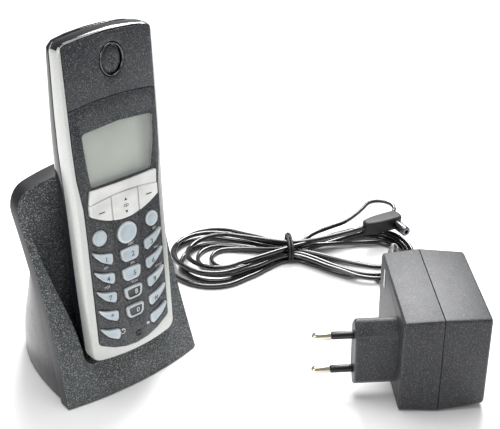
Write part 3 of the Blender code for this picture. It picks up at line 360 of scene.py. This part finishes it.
CRADLE_GREY = moulded("cradle_grey", (0.046, 0.052, 0.055), 0.55, 2200.0, 0.6, fleck=0.32, wear=0.2)
CRADLE_EDGE = moulded("cradle_edge", (0.010, 0.010, 0.014), 0.42, 3200.0, 0.08, marks=0.05, wear=0.1)
SMOOTH_BLACK = moulded("smooth_black", (0.008, 0.008, 0.010), 0.26, 3200.0, 0.05, marks=0.08)
HANDSET_CHARCOAL = moulded("handset_charcoal", (0.014, 0.017, 0.022), 0.36, 2600.0, 0.2, fleck=0.16)
BACK_CHARCOAL = moulded("back_black", (0.006, 0.006, 0.009), 0.16, 3200.0, 0.03, coat=0.4, marks=0.08)
SILVER = painted_silver()
PEARL = moulded("pearl_white", (0.86, 0.86, 0.84), 0.26, 2800.0, 0.04, coat=0.4, marks=0.05)
KEY_RIM = moulded("key_rim", (0.62, 0.67, 0.70), 0.16, 2800.0, 0.03, coat=0.6, marks=0.05)
ICE_BLUE = ice_key()
CHROME = plated("bright_plate", (0.82, 0.82, 0.83), 0.1)
# Dark plate: the ear ring's own dark metal, and on the plug barrel a painted shade that stands in for the
# shadow the barrel lies in.
DARK_PLATE_AND_SHADE = plated("dark_plate_and_shade", (0.13, 0.13, 0.14), 0.18)
NICKEL = plated("nickel", (0.74, 0.68, 0.56), 0.2, brush=(1.0, 1.0, 8.0))
FILM = display_film()
COVER = clear_cover()
BOARD = circuit_board()
RUBBER = moulded("black_rubber", (0.010, 0.010, 0.012), 0.55, 3500.0, 0.2, marks=0.08)
STEEL = plated("dull_steel", (0.5, 0.5, 0.51), 0.35, brush=(6.0, 1.0, 1.0))
ADAPTER_SHELL = moulded("adapter_charcoal", (0.020, 0.021, 0.025), 0.5, 2300.0, 0.6, fleck=0.08, wear=0.35)
IRON_TONES = ((0.2, 0.2, 0.21), (0.45, 0.45, 0.46))
LAMINATION = ridged("laminated_iron", IRON_TONES, 0.45, 0.9, 0.0005, (0.0, 0.0, 0.66))
COPPER_TONES = ((0.42, 0.15, 0.05), (0.75, 0.33, 0.14))
COPPER = ridged("enamelled_copper", COPPER_TONES, 0.3, 0.9, 0.0006, (0.0, 1.57, 0.0))
CELL_WRAP = moulded("cell_wrap", (0.06, 0.24, 0.11), 0.28, 900.0, 0.08, coat=0.5)
CORD_BLACK = moulded("cord_sheath", (0.006, 0.006, 0.006), 0.13, 2600.0, 0.05, coat=0.8, marks=0.05)
WHITE_PRINT = printed("white_print", (0.8, 0.8, 0.8))
DARK_PRINT = printed("dark_print", (0.03, 0.03, 0.035))
DARK_WINDOW = moulded("dark_window", (0.012, 0.013, 0.015), 0.2, 2600.0, 0.04, coat=0.4)
BLANK_LABEL = printed("blank_label", (0.75, 0.76, 0.76))


# Cradle: speckled leaning plate with smooth edges, black housing and its fittings

plate = taken_from("cradle_face", "cradle_front")
soften(plate, 0.0007, 3, 38.0)
finish_piece(plate, "cradle", (CRADLE_GREY, CRADLE_EDGE), ("cradle_face",))
PLATE_SIDE = 0.0335
PLATE_TOP = 0.085
for polygon in plate.data.polygons:
    slant = abs(polygon.normal.dot(PLATE_FACING))
    outer_side = abs(polygon.normal.x) > 0.35 and abs(polygon.center.x) > PLATE_SIDE
    top_rim = polygon.normal.z > 0.3 and polygon.center.z > PLATE_TOP
    polygon.material_index = int(slant < 0.6 and (outer_side or top_rim))

housing = taken_from("cradle_rear_shell", "cradle_housing", 0.2)
soften(housing, 0.0006, 3, 40.0)
finish_piece(housing, "cradle", (SMOOTH_BLACK,), ("cradle_rear_shell",))

CARRIED_OVER = {
    "cradle_base_plate": SMOOTH_BLACK,
    "non_slip_foot": RUBBER,
    "ballast_weight": STEEL,
    "dc_socket": SMOOTH_BLACK,
    "cradle_circuit_board": BOARD,
    "charge_contact_left": CHROME,
    "charge_contact_right": CHROME,
    "charge_pad_left": CHROME,
    "charge_pad_right": CHROME,
    "earpiece_speaker": STEEL,
    "keypad_mat": RUBBER,
    "main_circuit_board": BOARD,
    "battery_pack": CELL_WRAP,
    "transformer_core": LAMINATION,
    "transformer_winding": COPPER,
}
for node, made in CARRIED_OVER.items():
    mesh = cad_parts[node].data
    mesh.materials.clear()
    mesh.materials.append(made)


# Handset shells

UPWARDS = HANDSET.to_3x3() @ Vector((0.0, 0.0, 1.0))
HEAD_TOP = HANDSET @ Vector((0.0, 0.0, 0.1600))
side_frame = taken_from("handset_silver_frame", "silver_side_frame", 0.2)
soften(side_frame, 0.0005, 3, 50.0)
finish_piece(side_frame, "handset", (SILVER, BACK_CHARCOAL), ("handset_silver_frame",))
for polygon in side_frame.data.polygons:
    high = (polygon.center - HEAD_TOP).dot(UPWARDS) > 0
    polygon.material_index = int(high and polygon.normal.dot(UPWARDS) > 0.55)

HANDSET_SHELLS = (
    # node, piece, dissolve angle, edge radius, its segments, material, slot
    ("handset_rear_shell", "handset_back", 0.2, 0.0004, 3, BACK_CHARCOAL, "gloss_charcoal"),
    ("battery_cover", "battery_hatch", 0.2, 0.0003, 2, BACK_CHARCOAL, "gloss_charcoal"),
    ("front_panel", "keypad_panel", 0.4, 0.00025, 2, HANDSET_CHARCOAL, "gloss_charcoal"),
    ("head_cover", "ear_cover", 0.4, 0.00035, 3, HANDSET_CHARCOAL, "gloss_charcoal"),
    ("display_chin", "chin", 0.4, 0.0004, 3, PEARL, "pearl_white"),
    ("display_lens", "display_cover", 0.4, 0.0002, 2, COVER, "clear_lens"),
    ("lcd_module", "display_module", 0.4, 0.0002, 2, FILM, "display_grey"),
)
for node, name, dissolve, edge_radius, segments, made, slot in HANDSET_SHELLS:
    shell = taken_from(node, name, dissolve)
    soften(shell, edge_radius, segments, 45.0)
    finish_piece(shell, "handset", (made,), (node,))


# Keys: each cap has a pale rim round a sunk tinted middle, and a printed sign on it

RIM_STEP = 0.00012
KEY_PITCH = 0.0131
FIGURE_HEIGHT = 0.0034
LETTER_HEIGHT = 0.0017
PRINT_THICKNESS = 0.00005
FIGURE_SUNK = 0.00008
LETTER_PROUD = 0.00003


def faces_out(polygon):
    return polygon.normal.dot(FACING) > 0.97


def key_cap(node, name, rim_width, middle, rim):
    cap = taken_from(node, name)
    select_faces(cap, faces_out)
    bpy.ops.mesh.inset(thickness=rim_width, depth=0.0)
    bpy.ops.transform.translate(value=FACING * -RIM_STEP)
    leave_edit()
    chosen = [polygon.index for polygon in cap.data.polygons if polygon.select]
    finish_piece(cap, f"{node}_body", (rim, middle), (node,))
    for index in chosen:
        cap.data.polygons[index].material_index = 1
    soften(cap, 0.00028, 3, 30.0)


def stand_on_face(obj, at, depth, turn=0.0):
    """Stands a piece made lying flat up against the handset's face, at that place."""
    x, z = at
    upright = Matrix.Rotation(math.radians(90.0), 4, "X") @ Matrix.Rotation(turn, 4, "Z")
    obj.matrix_world = Matrix.Translation((x, depth, z)) @ upright
    settle(obj, HANDSET)


def sign(text, name, body, at, height, made, depth):
    """A thin printed letter or figure, just proud of the surface at that place on the handset's face."""
    bpy.ops.object.text_add()
    obj = bpy.context.active_object
    obj.name = name
    obj.data.body = text
    obj.data.align_x = "CENTER"
    obj.data.align_y = "CENTER"
    obj.data.size = height
    obj.data.extrude = 0.00003
    obj.data.resolution_u = 3
    bpy.ops.object.convert(target="MESH")
    stand_on_face(obj, at, depth)
    finish_piece(obj, body, (made,))


DIGITS = {"key_star": "*", "key_hash": "#"}
for digit in "1234567890":
    DIGITS[f"key_{digit}"] = digit
LETTERS = {
    "key_2": "ABC",
    "key_3": "DEF",
    "key_4": "GHI",
    "key_5": "JKL",
    "key_6": "MNO",
    "key_7": "PQRS",
    "key_8": "TUV",
    "key_9": "WXYZ",
}
PANEL_SUNK = 0.6
CROWN = 1.7 / 22.4**2


def panel_depth(x):
    """How deep the panel's crowned face is at this distance from the middle."""
    return (PANEL_SUNK + CROWN * (x / MM) ** 2) * MM


KEYPAD = ["key_power", "key_lock", *DIGITS]
DARK_KEYS = ("key_8", "key_0")
for node in KEYPAD:
    middle_made = DARK_WINDOW if node in DARK_KEYS else ICE_BLUE
    key_cap(node, f"{node}_cap", 0.0006, middle_made, KEY_RIM)
for node, digit in DIGITS.items():
    middle = centre_of(node, HANDSET)
    side = round(middle.x / KEY_PITCH)
    front = (0.6 * abs(side) - 0.4) * MM
    shift = 0.0012 if side <= 0 else -0.0009
    at = (middle.x + shift, middle.z - 0.0002 - 0.0007 * abs(side))
    ink = WHITE_PRINT if node in DARK_KEYS else DARK_PRINT
    sign(digit, f"{node}_figure", f"{node}_body", at, FIGURE_HEIGHT, ink, front + FIGURE_SUNK)
for node, letters in LETTERS.items():
    middle = centre_of(node, HANDSET)
    at = (middle.x + 0.0012, middle.z + 0.0045)
    depth = panel_depth(at[0]) - LETTER_PROUD
    sign(letters, f"{node}_letters", "handset", at, LETTER_HEIGHT, WHITE_PRINT, depth)

for node in ("round_key_left", "round_key_centre", "round_key_right"):
    key_cap(node, f"{node}_cap", 0.0006, ICE_BLUE, KEY_RIM)
for node in ("soft_key_left", "navigation_key", "soft_key_right"):
    key_cap(node, f"{node}_cap", 0.0005, PEARL, PEARL)


# Signs on the pearl keys and beside the two lowest keys

def thicken(corner, segments, thickness):
    """Rounds the active flat piece's corners in its own plane, then gives it a thickness."""
    bpy.ops.object.mode_set(mode="EDIT")
    bpy.ops.mesh.select_all(action="SELECT")
    bpy.ops.mesh.bevel(offset=corner, segments=segments, affect="VERTICES")
    bpy.ops.mesh.extrude_region_move(TRANSFORM_OT_translate={"value": (0.0, 0.0, thickness)})
    bpy.ops.mesh.select_all(action="SELECT")
    bpy.ops.mesh.normals_make_consistent(inside=False)
    bpy.ops.object.mode_set(mode="OBJECT")


def flat_plate(name, width, height):
    bpy.ops.mesh.primitive_plane_add(size=1.0)
    obj = bpy.context.active_object
    obj.name = name
    obj.scale = (width, height, 1.0)
    bpy.ops.object.transform_apply(location=False, rotation=False, scale=True)
    return obj


def dash(name, body, at, width, height, made, depth):
    """A small printed bar with softened ends."""
    obj = flat_plate(name, width, height)
    thicken(min(width, height) * 0.3, 2, PRINT_THICKNESS)
    stand_on_face(obj, at, depth)
    finish_piece(obj, body, (made,))


def arrow(name, body, at, size, made, depth, turn):
    """A small printed triangle, pointing up before it is turned."""
    bpy.ops.mesh.primitive_circle_add(vertices=3, radius=size, fill_type="NGON")
    obj = bpy.context.active_object
    obj.name = name
    thicken(size * 0.12, 2, PRINT_THICKNESS)
    stand_on_face(obj, at, depth, turn)
    finish_piece(obj, body, (made,))


def ring_sign(name, body, at, radius, line, made, depth, start=0.0, end=360.0):
    """A printed ring, or part of one, made by spinning a small upright oblong round its middle."""
    obj = flat_plate(name, line, PRINT_THICKNESS)
    obj.location = (radius, 0.0, 0.0)
    bpy.ops.object.transform_apply(location=True, rotation=False, scale=False)
    bpy.ops.object.mode_set(mode="EDIT")
    bpy.ops.mesh.select_all(action="SELECT")
    bpy.ops.transform.rotate(value=math.radians(90.0), orient_axis="X", center_override=(0.0, 0.0, 0.0))
    swept = math.radians(end - start)
    bpy.ops.mesh.spin(steps=24, angle=swept, center=(0.0, 0.0, 0.0), axis=(0.0, 0.0, 1.0))
    bpy.ops.mesh.select_all(action="SELECT")
    if end - start >= 360.0:
        bpy.ops.mesh.remove_doubles(threshold=0.000002)
    bpy.ops.mesh.normals_make_consistent(inside=False)
    bpy.ops.object.mode_set(mode="OBJECT")
    stand_on_face(obj, at, depth, math.radians(start))
    finish_piece(obj, body, (made,))


KEY_FRONT = -0.00013
DASH_HEIGHT = 0.00045
ARROW_SIZE = 0.00085
left_key = centre_of("soft_key_left", HANDSET)
right_key = centre_of("soft_key_right", HANDSET)
rocker = centre_of("navigation_key", HANDSET)
left_at = (left_key.x, left_key.z)
right_at = (right_key.x, right_key.z + 0.0008)
dash("left_dash", "soft_key_left_body", left_at, 0.0030, DASH_HEIGHT, DARK_PRINT, KEY_FRONT)
dash("right_dash", "soft_key_right_body", right_at, 0.0028, DASH_HEIGHT, DARK_PRINT, KEY_FRONT)
up_at = (rocker.x, rocker.z + 0.0026)
down_at = (rocker.x, rocker.z - 0.0030)
arrow("rocker_up", "navigation_key_body", up_at, ARROW_SIZE, DARK_PRINT, KEY_FRONT, 0.0)
arrow("rocker_down", "navigation_key_body", down_at, ARROW_SIZE, DARK_PRINT, KEY_FRONT, math.pi)
for side in (-1, 1):
    page = (rocker.x + side * 0.0005, rocker.z - 0.0002)
    ring_sign(f"rocker_page_{side + 1}", "navigation_key_body", page, 0.0006, 0.00022, DARK_PRINT, KEY_FRONT)
POWER_AT = (-0.0070, 0.0316)
LOCK_AT = (0.0067, 0.0301)
power_depth = panel_depth(POWER_AT[0]) - 0.00005
lock_depth = panel_depth(LOCK_AT[0]) - 0.00005
ring_sign("power_ring", "handset", POWER_AT, 0.0012, 0.00034, WHITE_PRINT, power_depth, 120.0, 420.0)
power_bar = (POWER_AT[0], POWER_AT[1] + 0.0008)
dash("power_bar", "handset", power_bar, 0.00028, 0.0013, WHITE_PRINT, power_depth)
dash("lock_body", "handset", LOCK_AT, 0.0015, 0.0011, WHITE_PRINT, lock_depth)
shackle_at = (LOCK_AT[0], LOCK_AT[1] + 0.0006)
ring_sign("lock_shackle", "handset", shackle_at, 0.0005, 0.0002, WHITE_PRINT, lock_depth, 0.0, 180.0)


# Earpiece and microphone

ear_ring = taken_from("earpiece_ring", "ear_ring", 0.1)
soften(ear_ring, 0.00015, 2, 60.0)
finish_piece(ear_ring, "handset", (DARK_PLATE_AND_SHADE,), ("earpiece_ring",))
ear_disc = taken_from("earpiece_grille", "ear_disc", 0.1)
soften(ear_disc, 0.00015, 2, 50.0)
finish_piece(ear_disc, "handset", (HANDSET_CHARCOAL,), ("earpiece_grille",))

MIC_AT = (0.0012, 0.0272)
MIC_RADIUS = 0.0014
MIC_LONG = 0.0016
MIC_FRONT = 0.0013
bpy.ops.mesh.primitive_cylinder_add(vertices=32, radius=MIC_RADIUS, depth=MIC_LONG)
mic_plug = bpy.context.active_object
mic_plug.name = "microphone_grommet"
select_faces(mic_plug, lambda polygon: polygon.normal.z > 0.9)
bpy.ops.mesh.inset(thickness=0.0003, depth=0.0)
bpy.ops.transform.translate(value=(0.0, 0.0, 0.00025))
bpy.ops.mesh.inset(thickness=0.0005, depth=0.0)
bpy.ops.transform.translate(value=(0.0, 0.0, -0.0005))
leave_edit()
soften(mic_plug, 0.00012, 3, 30.0)
stand_on_face(mic_plug, MIC_AT, MIC_FRONT)
finish_piece(mic_plug, "handset", (BACK_CHARCOAL,))


# Mains adapter: two case halves, pins in sleeves, and the ribbed strain relief

for node, name in (("adapter_front_case", "adapter_front"), ("adapter_rear_case", "adapter_rear")):
    half = taken_from(node, name, 0.3)
    soften(half, 0.0005, 3, 28.0)
    finish_piece(half, "cradle", (ADAPTER_SHELL,), (node,))
for side in ("upper", "lower"):
    pin = taken_from(f"pin_{side}", f"plug_pin_{side}", 0.1)
    soften(pin, 0.0002, 2, 40.0)
    finish_piece(pin, "cradle", (NICKEL,), (f"pin_{side}",))
    sleeve = taken_from(f"pin_sleeve_{side}", f"pin_collar_{side}", 0.1)
    soften(sleeve, 0.00006, 2, 40.0)
    finish_piece(sleeve, "cradle", (SMOOTH_BLACK,), (f"pin_sleeve_{side}",))

LABEL_AT = Vector((-0.0177, 0.0480, 0.0408))
label = flat_plate("blank_rating_label", 0.0022, 0.0095)
thicken(0.0004, 3, 0.00012)
label_place = Matrix.Translation(LABEL_AT) @ Matrix.Rotation(math.radians(-90.0), 4, "Y")
label_place = label_place @ Matrix.Rotation(math.radians(90.0), 4, "Z")
settle(label, ADAPTER @ label_place)
finish_piece(label, "cradle", (BLANK_LABEL,))

RELIEF_AT = Vector((-0.0070, 0.0596, 0.0390))
RELIEF_LONG = 0.015
COLLAR_RADIUS = 0.0031
COLLAR_LONG = 0.0016
RIBS = 6
bpy.ops.mesh.primitive_cylinder_add(vertices=32, radius=COLLAR_RADIUS, depth=COLLAR_LONG)
relief = bpy.context.active_object
relief.name = "cord_strain_relief"
relief.location = (0.0, 0.0, COLLAR_LONG / 2)
bpy.ops.object.transform_apply(location=True, rotation=False, scale=False)
select_faces(relief, lambda polygon: polygon.normal.z > 0.9)
radius = COLLAR_RADIUS
for step in range(RIBS):
    crest = 0.0027 - 0.00014 * step
    groove = 0.0023 - 0.00010 * step
    for new_radius, rise in ((crest, 0.0005), (groove, 0.0004), (groove, 0.0008), (crest, 0.0004)):
        bpy.ops.mesh.extrude_region_move(TRANSFORM_OT_translate={"value": (0.0, 0.0, rise)})
        bpy.ops.transform.resize(value=(new_radius / radius, new_radius / radius, 1.0))
        radius = new_radius
leave_edit()
soften(relief, 0.00012, 2, 35.0)
settle(relief, ADAPTER @ Matrix.Translation(RELIEF_AT) @ Matrix.Rotation(math.radians(-90.0), 4, "X"))
finish_piece(relief, "cradle", (RUBBER,), ("strain_relief",))


# Lead: out of the strain relief, down to the desk, round the tied hank and up to the plug

TIE_AT = Vector((0.128, 0.031 + SITE_Y))
BUNDLE = math.atan2(-50.0, 70.0)
ALONG = Vector((math.cos(BUNDLE), math.sin(BUNDLE)))
ACROSS = Vector((-ALONG.y, ALONG.x))
LOWEST_STRAND = 0.0014
PARTS = 12
STRAIGHT_RUN = 0.007
TIE_CLEAR = 0.012


def smooth_route(points, step):
    """Even points along a Catmull-Rom curve through the route."""
    knots = [Vector(point) for point in points]
    dense = []
    for index in range(len(knots) - 1):
        before = knots[max(index - 1, 0)]
        start = knots[index]
        end = knots[index + 1]
        after = knots[min(index + 2, len(knots) - 1)]
        for part in range(PARTS):
            t = part / PARTS
            linear = (end - before) * t
            square = (2 * before - 5 * start + 4 * end - after) * t**2
            cube = (3 * start - before - 3 * end + after) * t**3
            dense.append((2 * start + linear + square + cube) / 2)
    dense.append(knots[-1])
    even = [dense[0]]
    travelled = 0.0
    for first, second in zip(dense, dense[1:]):
        travelled += (second - first).length
        if travelled >= step:
            even.append(second)
            travelled = 0.0
    if (even[-1] - dense[-1]).length < step / 2:
        even.pop()
    even.append(dense[-1])
    return even


def eased(points):
    """Adds a point near the outer end of every long run from the tie, to keep it straight up to its bend."""
    full = [points[0]]
    for first, second in zip(points, points[1:]):
        gap = (second - first).length
        long_run = gap > 2.4 * STRAIGHT_RUN
        if long_run and (first.xy - TIE_AT).length > TIE_CLEAR:
            full.append(first.lerp(second, STRAIGHT_RUN / gap))
        if long_run and (second.xy - TIE_AT).length > TIE_CLEAR:
            full.append(second.lerp(first, STRAIGHT_RUN / gap))
        full.append(second)
    return full


relief_end = ADAPTER @ (RELIEF_AT + Vector((0.0, RELIEF_LONG + 0.0003, 0.0)))
leaving = (relief_end - ADAPTER @ RELIEF_AT).normalized()
# Down from the strain relief: how far out from it, and how high above the desk
DROP = (
    (0.0040, 0.0384),
    (0.0100, 0.0348),
    (0.0150, 0.0255),
    (0.0180, 0.0145),
    (0.0222, 0.0063),
    (0.0274, 0.0024),
)
route = [relief_end]
for reach, level in DROP:
    spot = relief_end + leaving * reach
    route.append(Vector((spot.x, spot.y, level)))


def at_tie(across, level):
    spot = TIE_AT + ACROSS * across
    return Vector((spot.x, spot.y, level))


def bend(centre, radius, start, end, count, levels):
    """Points round one end of the hank, in degrees from its line, rising and falling between the levels."""
    points = []
    for index in range(count):
        share = index / (count - 1)
        angle = BUNDLE + math.radians(start + (end - start) * share)
        place = share * (len(levels) - 1)
        low = min(int(place), len(levels) - 2)
        level = levels[low] + (levels[low + 1] - levels[low]) * (place - low)
        x = centre[0] + radius * math.cos(angle)
        y = centre[1] + SITE_Y + radius * math.sin(angle)
        points.append(Vector((x, y, level)))
    return points


def tangents(centre, radius):
    """How far round from its side facing the tie a strand meets the circle, and that side's tilt."""
    across = TIE_AT - Vector((centre[0], centre[1] + SITE_Y))
    tilt = math.degrees(math.atan2(across.y, across.x)) - math.degrees(BUNDLE)
    return math.degrees(math.acos(radius / across.length)), tilt


# Each left turn: its slot through the tie (across, level), then its end's centre, radius and levels
LEFT_TURNS = (
    ((0.0065, 0.0014), (0.0900, 0.0520), 0.0243, (0.0016, 0.0014, 0.0014, 0.0016)),
    ((0.0066, 0.0046), (0.0960, 0.0545), 0.0238, (0.0044, 0.0042, 0.0042, 0.0044)),
    ((0.0039, 0.0014), (0.0905, 0.0500), 0.0186, (0.0018, 0.0014, 0.0014, 0.0018)),
    ((0.0040, 0.0048), (0.0925, 0.0545), 0.0222, (0.0058, 0.0064, 0.0044, 0.0042)),
    ((0.0013, 0.0014), (0.0955, 0.0515), 0.0125, (0.0016, 0.0014, 0.0014, 0.0016)),
    ((0.0013, 0.0046), (0.0985, 0.0485), 0.0094, (0.0018, 0.0014, 0.0014, 0.0018)),
    ((0.0040, 0.0080), (0.0945, 0.0515), 0.0175, (0.0078, 0.0066, 0.0044, 0.0070)),
)
# Each right turn, between two left ones: its end's centre, radius and levels
RIGHT_TURNS = (
    ((0.1600, 0.0020), 0.0258, (0.0016, 0.0014, 0.0018, 0.0044)),
    ((0.1615, 0.0010), 0.0205, (0.0018, 0.0015, 0.0015, 0.0018)),
    ((0.1610, 0.0015), 0.0240, (0.0042, 0.0042, 0.0042, 0.0042)),
    ((0.1650, -0.0010), 0.0125, (0.0018, 0.0014, 0.0014, 0.0018)),
    ((0.1640, 0.0005), 0.0178, (0.0044, 0.0042, 0.0042, 0.0044)),
)
# From the desk to the first left turn, then the long narrow loop, taken before the last left turn
START = ((0.1478, -0.0168), (0.1464, -0.0118), (0.1420, -0.0086), (0.1372, -0.0034))
LONG_TURN = (
    (0.1450, 0.0300, 0.0080),
    (0.1576, 0.0295, 0.0076),
    (0.1690, 0.0285, 0.0074),
    (0.1800, 0.0300, 0.0076),
    (0.1900, 0.0325, 0.0080),
    (0.1955, 0.0340, 0.0082),
    (0.2017, 0.0316, 0.0082),
    (0.2043, 0.0255, 0.0082),
    (0.2017, 0.0194, 0.0080),
    (0.1955, 0.0170, 0.0078),
    (0.1850, 0.0160, 0.0076),
    (0.1720, 0.0165, 0.0074),
    (0.1590, 0.0190, 0.0076),
    (0.1450, 0.0225, 0.0080),
)
OUT_TO_PLUG = (0.0013, 0.0080)


def way_to_tie(turn):
    """Up from the desk, round the hank's right end, or out along the long loop."""
    if turn == 0:
        return [Vector((x, y + SITE_Y, LOWEST_STRAND)) for x, y in START]
    if turn > len(RIGHT_TURNS):
        return [Vector((x, y + SITE_Y, z)) for x, y, z in LONG_TURN]
    centre, radius, levels = RIGHT_TURNS[turn - 1]
    reach, tilt = tangents(centre, radius)
    begin = tilt - reach
    return bend(centre, radius, begin, begin - 360.0 + 2 * reach, 13, levels)


def left_end(centre, radius, levels):
    reach, tilt = tangents(centre, radius)
    tilt = (tilt + 180.0) % 360.0 - 180.0
    return bend(centre, radius, tilt + 360.0 - reach, tilt + reach, 15, levels)


for turn, ((across, level), centre, radius, levels) in enumerate(LEFT_TURNS):
    route += way_to_tie(turn)
    route.append(at_tie(-across, level))
    route += left_end(centre, radius, levels)
    last = turn == len(LEFT_TURNS) - 1
    route.append(at_tie(*OUT_TO_PLUG) if last else at_tie(across, level))
# Back from the plug along its line: how far, and how far off that line
TAIL = (
    (0.0270, (0.0, 0.0060, -0.0030)),
    (0.0160, (0.0, 0.0020, -0.0010)),
    (0.0060, (0.0, 0.0, 0.0002)),
    (0.0003, (0.0, 0.0, 0.0)),
)
back_along = PLUG.to_3x3() @ Vector((-1.0, 0.0, 0.0))
route += [PLUG.translation + back_along * reach + Vector(offset) for reach, offset in TAIL]


def round_wire(name, radius, strands):
    """One object of round wire or cord: a strand along each list of points, joined to its start if cyclic."""
    curve = bpy.data.curves.new(name, "CURVE")
    curve.dimensions = "3D"
    curve.bevel_depth = radius
    curve.bevel_resolution = 3
    curve.use_fill_caps = True
    for points, cyclic in strands:
        strand = curve.splines.new("POLY")
        strand.points.add(len(points) - 1)
        for knot, point in zip(strand.points, points):
            knot.co = (*point, 1.0)
        strand.use_cyclic_u = cyclic
        strand.use_smooth = True
    return linked(name, curve)


centreline = smooth_route(eased(route), 0.003)
lead = round_wire("lead", CORD_DIAMETER / 2, [(centreline, False)])
finish_piece(lead, "cradle", (CORD_BLACK,), ("cord_adapter_run", "cord_hank", "cord_plug_run"))


# Twist tie round the hank, with its two ends twisted together on top

TIE_HALF_WIDTH = 0.0088
TIE_TOP = 0.0108
TIE_FOOT = 0.0008
TIE_WIRE_RADIUS = 0.00075
TWISTS = 8


def band_loop(offset):
    """A closed squarish loop round the hank, that far along it from the tie's middle."""
    points = []
    for index in range(24):
        angle = math.tau * index / 24
        across = TIE_HALF_WIDTH * math.copysign(abs(math.cos(angle)) ** 0.7, math.cos(angle))
        rise = math.copysign(abs(math.sin(angle)) ** 0.7, math.sin(angle))
        level = TIE_FOOT + (TIE_TOP - TIE_FOOT) * (0.5 + 0.5 * rise)
        points.append(at_tie(across, level) + ALONG.to_3d() * offset)
    return points


def twisted_end(side):
    """One of the tie's two ends, winding round the other and then sagging."""
    top = at_tie(0.0012, 0.0107)
    points = [top]
    for index in range(1, TWISTS + 1):
        angle = side * math.pi * 0.5 + index * 0.9
        out = ACROSS.to_3d() * (0.0011 * index)
        swirl = ALONG.to_3d() * (0.0006 * math.cos(angle))
        sag = 0.00045 * index if index > TWISTS / 2 else 0.0
        points.append(top + out + swirl + Vector((0.0, 0.0, 0.0004 * math.sin(angle) - sag)))
    return points


tie_strands = [(band_loop(offset), True) for offset in (-0.0009, 0.0008)]
tie_strands += [(twisted_end(side), False) for side in (-1, 1)]
tie = round_wire("twist_tie", TIE_WIRE_RADIUS, tie_strands)
finish_piece(tie, "cradle", (RUBBER,), ("cord_tie",))


# Right-angle plug: moulded body and its plated barrel, darkened as painted shade

plug_body = taken_from("dc_plug_body", "plug_body", 0.2)
soften(plug_body, 0.0016, 5, 30.0)
finish_piece(plug_body, "cradle", (RUBBER,), ("dc_plug_body",))
# The barrel gets the dark plate as painted shade. It is darkened to stand in for its shadow, not given a dark
# finish.
barrel = taken_from("dc_plug_barrel", "plug_barrel", 0.1)
soften(barrel, 0.0002, 2, 40.0)
finish_piece(barrel, "cradle", (DARK_PLATE_AND_SHADE,), ("dc_plug_barrel",))


# Floor, light and camera

bpy.ops.mesh.primitive_grid_add(x_subdivisions=2, y_subdivisions=2, size=6.0)
floor = bpy.context.active_object
floor.name = "floor"
floor.data.materials.append(pale_floor())

world = bpy.data.worlds.new("studio")
bpy.context.scene.world = world
world.use_nodes = True
background = world.node_tree.nodes["Background"]
background.inputs["Color"].default_value = (1.0, 1.0, 1.0, 1.0)
background.inputs["Strength"].default_value = 0.32


def soft_box(name, at, towards, size, power):
    light = bpy.data.lights.new(name, "AREA")
    light.shape = "RECTANGLE"
    light.size, light.size_y = size
    light.energy = power
    lamp = linked(name, light)
    lamp.location = at
    lamp.rotation_mode = "QUATERNION"
    lamp.rotation_quaternion = (Vector(towards) - Vector(at)).to_track_quat("-Z", "Y")


AIM = (0.06, -0.03, 0.05)
soft_box("key_light", (0.75, 0.55, 0.95), AIM, (0.6, 0.6), 24.0)
soft_box("overhead", (0.1, 0.1, 1.3), AIM, (1.0, 0.8), 14.0)
soft_box("left_fill", (-0.9, -0.1, 0.45), AIM, (0.5, 0.5), 2.5)

SENSOR_WIDTH = 36.0
FOCAL_LENGTH = 74.8
EYE = Vector((-0.2166, -0.3156 + SITE_Y, 0.3096))
RIGHT = Vector((0.7483, -0.6635, 0.0201)).normalized()
AHEAD = Vector((0.5810, 0.6402, -0.5025)).normalized()
UP = RIGHT.cross(AHEAD).normalized()
camera_data = bpy.data.cameras.new("camera")
camera_data.sensor_width = SENSOR_WIDTH
camera_data.lens = FOCAL_LENGTH
camera = linked("camera", camera_data)
turn = Matrix((RIGHT, UP, -AHEAD)).transposed().to_4x4()
camera.matrix_world = Matrix.Translation(EYE) @ turn
bpy.context.scene.camera = camera
bpy.context.scene.view_settings.view_transform = "Standard"
